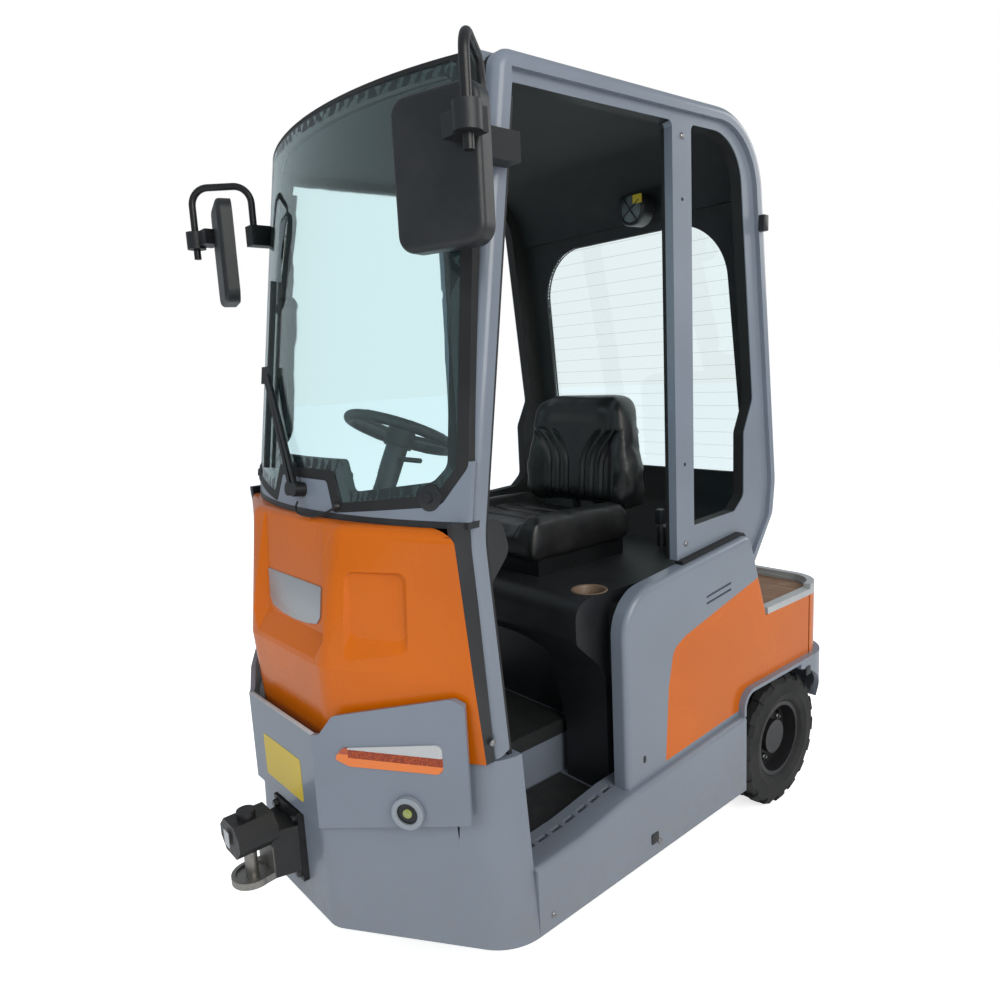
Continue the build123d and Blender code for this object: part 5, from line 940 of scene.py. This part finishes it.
BACK_FOOT = 0.908
BACK_LEAN = 0.105
BACK_BOLSTER = 0.022
HEAD_ROLL = 0.008
CHANNEL_TURN = 1.035
CHANNEL_BEND = 5.5
CHANNEL_WIDTH = 0.0065
CHANNEL_DEPTH = 0.011
CHANNEL_FOOT = 0.098
CHANNELS = (0.032, 0.068, 0.104)
backrest = inflated("seat_back_pad", "seat_back", (Vector((0, 0, BACK_FOOT)), Vector((0, 0, 1))))
_, back_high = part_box("seat_back")
for vert in backrest.data.vertices:
    spot = vert.co
    share = (spot.z - BACK_FOOT) / (back_high.z - BACK_FOOT)
    aside = abs(spot.y)
    front_x = back_high.x - 0.012 - BACK_LEAN * max(0.0, share)
    front = ease(spot.x, front_x - 0.075, front_x - 0.035)
    push = BACK_BOLSTER * ease(aside, 0.12, 0.17)
    rise = spot.z - CHANNEL_TURN
    for ring in CHANNELS:
        bend = max(0.0, rise)
        off = (aside - ring - CHANNEL_BEND * bend * bend) / math.hypot(1.0, 2 * CHANNEL_BEND * bend)
        ends = ease(rise, -0.105, -0.085) * (1.0 - ease(rise, 0.095, 0.115))
        push -= dip(off, CHANNEL_WIDTH, CHANNEL_DEPTH) * ends
    for ring in CHANNELS:
        joined = 1.0 - ease(abs(aside - ring + 0.012), 0.010, 0.014)
        push -= dip(rise + CHANNEL_FOOT, 0.0055, 0.008) * joined
    push += HEAD_ROLL * ease(spot.z, 1.155, 1.20) * (1.0 - ease(aside, 0.08, 0.15))
    spot.x += front * push
backrest.data.shade_smooth()
fixed(backrest, vinyl, "chassis")
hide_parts("seat_back")

STRUT_LOW = 806.0
STRUT_HIGH = 925.0
strut_bm = bmesh.new()
for side in (-1, 1):
    strut = from_axle(318, side * 42 - 9, (STRUT_LOW + STRUT_HIGH) / 2)
    prism(strut_bm, rounded(9, (STRUT_HIGH - STRUT_LOW) / 2, 5), strut, (1, 0, 0), (0, 0, 1), -18)
prism(strut_bm, rounded(22, 52, 5), from_axle(305, 0, STRUT_LOW), (1, 0, 0), (0, 1, 0), 8, 1.5)
bmesh.ops.recalc_face_normals(strut_bm, faces=strut_bm.faces)
fixed(mesh_object("seat_strut", strut_bm), black_coat, "chassis")

# Mirrors: silvered glass with a ground edge, set into the rear of each moulded shell
# and turned in towards the seat.
MIRROR_TURN = math.radians(17.0)
GLASS_SET = 0.0185
SILVER = (0.78, 0.81, 0.82, 1.0)
silver, silver_tree, silver_face, silver_coords = shader("silver_glass")
silver_face.inputs["Base Color"].default_value = SILVER
silver_face.inputs["Metallic"].default_value = 1.0
silver_haze = noise(silver_tree, silver_coords, 30.0, 4.0)
silver_tree.links.new(spread(silver_tree, silver_haze, 0.4, 0.7, 0.02, 0.09), silver_face.inputs["Roughness"])
glass_bm = bmesh.new()
for side in (1, -1):
    rearward = Vector((-math.cos(MIRROR_TURN), -side * math.sin(MIRROR_TURN), 0))
    across = Vector((0, 0, 1)).cross(rearward)
    middle = from_axle(1160, side * 472, 1658) + rearward * GLASS_SET
    prism(glass_bm, rounded(80, 116, 22), middle, across, (0, 0, 1), 2.0, 0.8)
fixed(mesh_object("mirror_glass", glass_bm), silver, "chassis")

# Bumper bosses: a moulded ring pressed over each boss, its grey paler than the plate's paint as a painted
# highlight, with a black disc as painted shade in the well, and a small yellow-green reflector.
CHEEK_OUT = Vector((0.8422, 0.5391, 0.0))
RING_PROFILE = [(23, 6), (23, 11), (25, 12.5), (32, 12.5), (34.6, 10.5), (34.6, 0.5), (33, 0.5)]
WELL_SHADE_PROFILE = [(0, 6.5), (23.4, 6.5), (23.4, 5.5), (0, 5.5), (0, 6.5)]
SPOT_PROFILE = [(0, 6.5), (10, 6.5), (10, 9), (7.5, 11), (0, 12)]
RING_GREY_AND_HIGHLIGHT = (0.25, 0.28, 0.32, 1.0)
REFLECTOR_TONES = ((0.34, 0.38, 0.10), (0.17, 0.20, 0.05))
ring_bm = bmesh.new()
spot_bm = bmesh.new()
well_shade_bm = bmesh.new()
for side in (1, -1):
    cheek_out = Vector((CHEEK_OUT.x, side * CHEEK_OUT.y, 0.0))
    boss = from_axle(1231.7, side * 332, 453)
    lathe(ring_bm, RING_PROFILE, 40, boss, cheek_out)
    lathe(well_shade_bm, WELL_SHADE_PROFILE, 32, boss, cheek_out)
    lathe(spot_bm, SPOT_PROFILE, 24, boss, cheek_out)
boss_ring, boss_tree, boss_face, _ = shader("boss_ring")
# Painted highlight: the ring's grey is lighter than the plate's paint.
boss_dirt = place_group(boss_tree, road_grime, Color=RING_GREY_AND_HIGHLIGHT, Roughness=0.3, Level=0.9, Amount=0.25)
boss_tree.links.new(boss_dirt["Color"], boss_face.inputs["Base Color"])
boss_tree.links.new(boss_dirt["Roughness"], boss_face.inputs["Roughness"])
fixed(mesh_object("boss_rings", ring_bm, 30.0), boss_ring, "chassis")
# Painted shade: a black disc fills the well inside the ring.
fixed(mesh_object("boss_well_shades", well_shade_bm), black_coat, "chassis")
reflector, reflector_tree, reflector_face, reflector_coords = shader("reflector")
reflector_cells = reflector_tree.nodes.new("ShaderNodeTexVoronoi")
reflector_cells.inputs["Scale"].default_value = 420.0
reflector_tree.links.new(reflector_coords, reflector_cells.inputs["Vector"])
reflector_colour = blend_colour(reflector_tree, reflector_cells.outputs["Distance"], *REFLECTOR_TONES)
reflector_tree.links.new(reflector_colour, reflector_face.inputs["Base Color"])
reflector_face.inputs["Roughness"].default_value = 0.15
reflector_face.inputs["Coat Weight"].default_value = 0.7
fixed(mesh_object("boss_reflectors", spot_bm, 40.0), reflector, "chassis")

# Bolts: black hexagon heads on washers at the coupling flanges, and zinc pan heads
# at the door posts, pillar feet and sills.
WASHER_PROFILE = [(0, 0), (12, 0), (12, 2), (0, 2)]
HEAD_PROFILE = [(0, 2), (9, 2), (9, 8), (7.5, 9.5), (0, 9.5)]
POST_SCREW = [(0, 4.5), (4.5, 4), (7, 2), (7.5, -0.5), (0, -0.5)]
SILL_SCREW = [(0, 4), (5, 3.5), (7, 1.5), (7.5, -0.5), (0, -0.5)]
flange_bm = bmesh.new()
for across in (-45, 45):
    for height in (232, 365):
        spot = from_axle(1349, across, height)
        lathe(flange_bm, WASHER_PROFILE, 20, spot, (1, 0, 0))
        lathe(flange_bm, HEAD_PROFILE, HEX_STEPS, spot, (1, 0, 0))
fixed(mesh_object("coupling_bolts", flange_bm, 25.0), black_coat, "chassis")
pan_bm = bmesh.new()
for side in (1, -1):
    for x, z, y in ((446, 1828, 446), (446, 878, 446), (1106, 600, 458)):
        lathe(pan_bm, POST_SCREW, 16, from_axle(x, side * y, z), (0, side, 0))
    for x in (1000, 640):
        lathe(pan_bm, SILL_SCREW, 16, from_axle(x, side * 500, 186), (0, side, 0))
fixed(mesh_object("body_screws", pan_bm, 40.0), zinc, "chassis")

# Small fittings on the body: moulded black plugs over jacking and lashing points, a thin black oval
# on each flank as painted shade in its drain hole, a stop block behind each rear pillar and a round cap on
# the cowl.
CAP_PROFILE = [(0, 15), (9, 15), (10, 12), (18, 11), (25, 8), (27, 4), (27, -6), (0, -6)]
plug_bm = bmesh.new()
for side in (1, -1):
    across = (-side, 0, 0)
    prism(plug_bm, rounded(13, 13, 3), from_axle(657, side * 499.6, 201), across, (0, 0, 1), 3.0, 1.0)
    prism(plug_bm, rounded(13, 13, 3), from_axle(-79, side * 499.6, 400), across, (0, 0, 1), 3.0, 1.0)
    # Painted shade: a thin black oval stands for the dark inside of the drain hole.
    prism(plug_bm, rounded(5, 9, 4.9), from_axle(667, side * 481.6, 401), across, (0, 0, 1), 1.2, 0.4)
    prism(plug_bm, rounded(12, 20, 4), from_axle(126, side * 457.6, 1662), across, (0, 0, 1), 16.0, 3.0)
    cap_out = Vector((0.915, side * 0.38, 0.134)).normalized()
    cap = from_axle(1157, side * 377, 1090)
    lathe(plug_bm, CAP_PROFILE, 32, cap, cap_out)
fixed(mesh_object("body_plugs", plug_bm, 30.0), dark_moulding, "chassis")

# Console: a tan moulded cup liner dropped into the left column, and beside the seat a belt
# reel in a black cover with its buckle on a zinc stalk.
CUP_TAN = (0.20, 0.135, 0.088)
CUP_PROFILE = [
    (0, -56), (33, -56), (35, -4), (37, 0), (42, 1.5), (44, 0.5), (44, 0), (38, 0), (36.5, -5),
    (34.5, -58), (0, -58),
]
cup_bm = bmesh.new()
lathe(cup_bm, CUP_PROFILE, 36, from_axle(700, 352, 800), (0, 0, 1))
tan_moulding = moulded("tan_moulding", CUP_TAN, 0.4, 800.0)
fixed(mesh_object("cup_liner", cup_bm, 40.0), tan_moulding, "chassis")
stalk_bm = bmesh.new()
lathe(stalk_bm, [(0, 0), (6, 0), (6, 95), (0, 95)], 16, from_axle(300, 262, 800), (0.12, 0.05, 1))
fixed(mesh_object("belt_stalk", stalk_bm), zinc, "chassis")
reel_bm = bmesh.new()
prism(reel_bm, rounded(26, 30, 6), from_axle(262, 236, 840), (1, 0, 0), (0, 0, 1), -34, 4.0)
prism(reel_bm, rounded(12, 20, 4), from_axle(312, 259, 905), (1, 0, 0), (0, 0, 1), -18, 3.0)
bmesh.ops.recalc_face_normals(reel_bm, faces=reel_bm.faces)
fixed(mesh_object("belt_reel", reel_bm, 30.0), dark_moulding, "chassis")

# Steering wheel hub: a domed black horn cap with a fine moulded ring, pressed over the nut
# and square to the tilted column.
HORN_PROFILE = [(0, 15), (14, 14), (22, 11.5), (23, 10.2), (24, 10.8), (30, 8.5), (32.5, 5.5), (32.5, 2)]
HUB_OUT = Vector((-0.4226182617, 0.0, 0.906307787))
cap_bm = bmesh.new()
lathe(cap_bm, HORN_PROFILE, 40, from_axle(965, 0, 1186), HUB_OUT)
fixed(mesh_object("horn_cap", cap_bm, 30.0), dark_moulding, "steering_wheel")

# Lamp in the cab roof: a fluted lens behind a black ring and a wire guard, with a yellow film
# on the face of its can.
GUARD_PROFILE = [(35, -2), (35, 3), (38, 5), (43, 4), (45, 0), (45, -10), (44, -10)]
WIRE_PROFILE = [(0, -38), (1.8, -38), (1.8, 38), (0, 38)]
ROOF_LENS_PROFILE = [(0, 4), (20, 3.5), (35.5, 1), (35.5, -1), (0, -1)]
ROOF_LENS_GREY = (0.20, 0.22, 0.23)
guard_bm = bmesh.new()
lamp_face = from_axle(216, 110, 1752)
lathe(guard_bm, GUARD_PROFILE, 40, lamp_face, (1, 0, 0))
for turn in (35, 125):
    lean = Vector((0, math.cos(math.radians(turn)), math.sin(math.radians(turn))))
    lathe(guard_bm, WIRE_PROFILE, 10, lamp_face + Vector((0.007, 0, 0)), lean)
fixed(mesh_object("roof_lamp_guard", guard_bm, 30.0), black_coat, "chassis")
face_bm = bmesh.new()
lathe(face_bm, ROOF_LENS_PROFILE, 36, lamp_face, (1, 0, 0))
roof_lens = lensed("roof_lens", ROOF_LENS_GREY, 0.3, "Y")
fixed(mesh_object("roof_lamp_lens", face_bm, 40.0), roof_lens, "chassis")
film_bm = bmesh.new()
prism(film_bm, rounded(15, 12, 2), lamp_face + Vector((0.0055, 0.026, 0.024)), (0, 1, 0), (0, 0, 1), 2.0)
fixed(mesh_object("roof_lamp_film", film_bm), label_film, "chassis")

# Dashboard: a dark glass display on the face of the pod, and on the top a row of black
# rocker switches beside a round key switch.
POD_FACE = 1038.0
SWITCH_COUNT = 5
SWITCH_FIRST = 180
SWITCH_PITCH = 34
KEY_PROFILE = [(0, 12), (9, 12), (11, 9), (13, 2), (16, 1), (16, -1), (0, -1)]
GLASS_TONES = ((0.012, 0.022, 0.026), (0.022, 0.034, 0.038))
gauge_bm = bmesh.new()
switch_bm = bmesh.new()
prism(gauge_bm, rounded(54, 22, 4), from_axle(POD_FACE, -205, 1062), (0, -1, 0), (0.22, 0, 1), 2.0, 0.8)
for count in range(SWITCH_COUNT):
    spot = from_axle(1012, SWITCH_FIRST + SWITCH_PITCH * count, 1044.5)
    prism(switch_bm, rounded(15, 11, 2.5), spot, (1, 0, 0), (0, 1, 0), 5.0, 1.6)
lathe(switch_bm, KEY_PROFILE, 28, from_axle(1020, 130, 1045), (-0.3, 0, 1))
gauge_glass, gauge_tree, gauge_face, gauge_coords = shader("gauge_glass")
gauge_haze = noise(gauge_tree, gauge_coords, 40.0, 3.0)
gauge_tree.links.new(blend_colour(gauge_tree, gauge_haze, *GLASS_TONES), gauge_face.inputs["Base Color"])
gauge_face.inputs["Roughness"].default_value = 0.06
gauge_face.inputs["Coat Weight"].default_value = 1.0
fixed(mesh_object("display_glass", gauge_bm, 30.0), gauge_glass, "chassis")
fixed(mesh_object("dash_switches", switch_bm, 30.0), rubber, "chassis")

# Scuttle: a black moulded shelf between the dashboard and the foot of the windscreen, and a
# pressed bulkhead that closes the footwell off from the inside of the hood.
SHELF_R = 984.0
SHELF_CENTRE = 239.0
SHELF_REAR = 1090.0
SHELF_HALF = 400
SHELF_STEP = 50
shelf_bm = bmesh.new()
shelf_front = [
    (SHELF_CENTRE + math.sqrt(SHELF_R ** 2 - across ** 2), across)
    for across in range(-SHELF_HALF, SHELF_HALF + 1, SHELF_STEP)
]
shelf_line = [(SHELF_REAR, -SHELF_HALF), *shelf_front, (SHELF_REAR, SHELF_HALF)]
prism(shelf_bm, shelf_line, from_axle(0, 0, 1046), (1, 0, 0), (0, 1, 0), 5.0, 1.0)
prism(shelf_bm, rounded(412, 243, 6), from_axle(1112, 0, 801), (0, 1, 0), (0, 0, 1), 4.0, 1.0)
fixed(mesh_object("scuttle_panels", shelf_bm, 30.0), dark_moulding, "chassis")

# Weld beads: a painted vertical bead in each front corner of the apron, below the bumper
# plate, where two folded plates meet.
BEAD_R = 4.8
BEAD_END_R = 4.5
BEAD_LOW = 299.0
BEAD_TOP = 392.0
bead_bm = bmesh.new()
for side in (1, -1):
    spot = from_axle(1157.2, side * 397.2, BEAD_LOW)
    rise = BEAD_TOP - BEAD_LOW
    bead_profile = [(0, 0), (BEAD_END_R, 3), (BEAD_R, rise / 2), (BEAD_END_R, rise), (0, rise)]
    lathe(bead_bm, bead_profile, 20, spot, (0, 0, 1))
fixed(mesh_object("apron_beads", bead_bm, 60.0), grey_paint, "chassis")

# Washer hose: a thin black rubber tube from the wiper spindle, sagging over the top of the
# hood and back up to the nozzle on the cowl.
HOSE_R = 0.0025
HOSE_STEPS = 8
NOZZLE_PROFILE = [(0, 9), (5, 8), (8, 4), (9, -6), (0, -6)]
hose_stops = [
    from_axle(1250, 2, 1062), from_axle(1257, 5, 1051), from_axle(1263, 22, 1042),
    from_axle(1264, 52, 1039), from_axle(1260, 84, 1039), from_axle(1252, 108, 1043),
    from_axle(1244, 128, 1052), from_axle(1236, 142, 1060),
]
hose_path = []
for count in range(len(hose_stops) - 1):
    before = hose_stops[max(0, count - 1)]
    first = hose_stops[count]
    second = hose_stops[count + 1]
    after = hose_stops[min(len(hose_stops) - 1, count + 2)]
    for step in range(HOSE_STEPS):
        part = step / HOSE_STEPS
        hose_path.append(0.5 * (
            2 * first + (second - before) * part + (2 * before - 5 * first + 4 * second - after) * part ** 2
            + (3 * first - before - 3 * second + after) * part ** 3
        ))
hose_path.append(hose_stops[-1])
hose_line = bpy.data.curves.new("washer_hose", "CURVE")
hose_line.dimensions = "3D"
hose_line.bevel_depth = HOSE_R
hose_line.bevel_resolution = 3
hose_line.use_fill_caps = True
hose_run = hose_line.splines.new("POLY")
hose_run.points.add(len(hose_path) - 1)
for point, spot in zip(hose_run.points, hose_path):
    point.co = (*spot, 1.0)
hose = bpy.data.objects.new("washer_hose", hose_line)
scene.collection.objects.link(hose)
fixed(hose, rubber, "chassis")
nozzle_bm = bmesh.new()
lathe(nozzle_bm, NOZZLE_PROFILE, 20, from_axle(1234, 146, 1063), (0.95, 0.15, 0.2))
fixed(mesh_object("washer_nozzle", nozzle_bm, 40.0), dark_moulding, "chassis")

# The scene is set back to its first frame.
scene.frame_set(1)
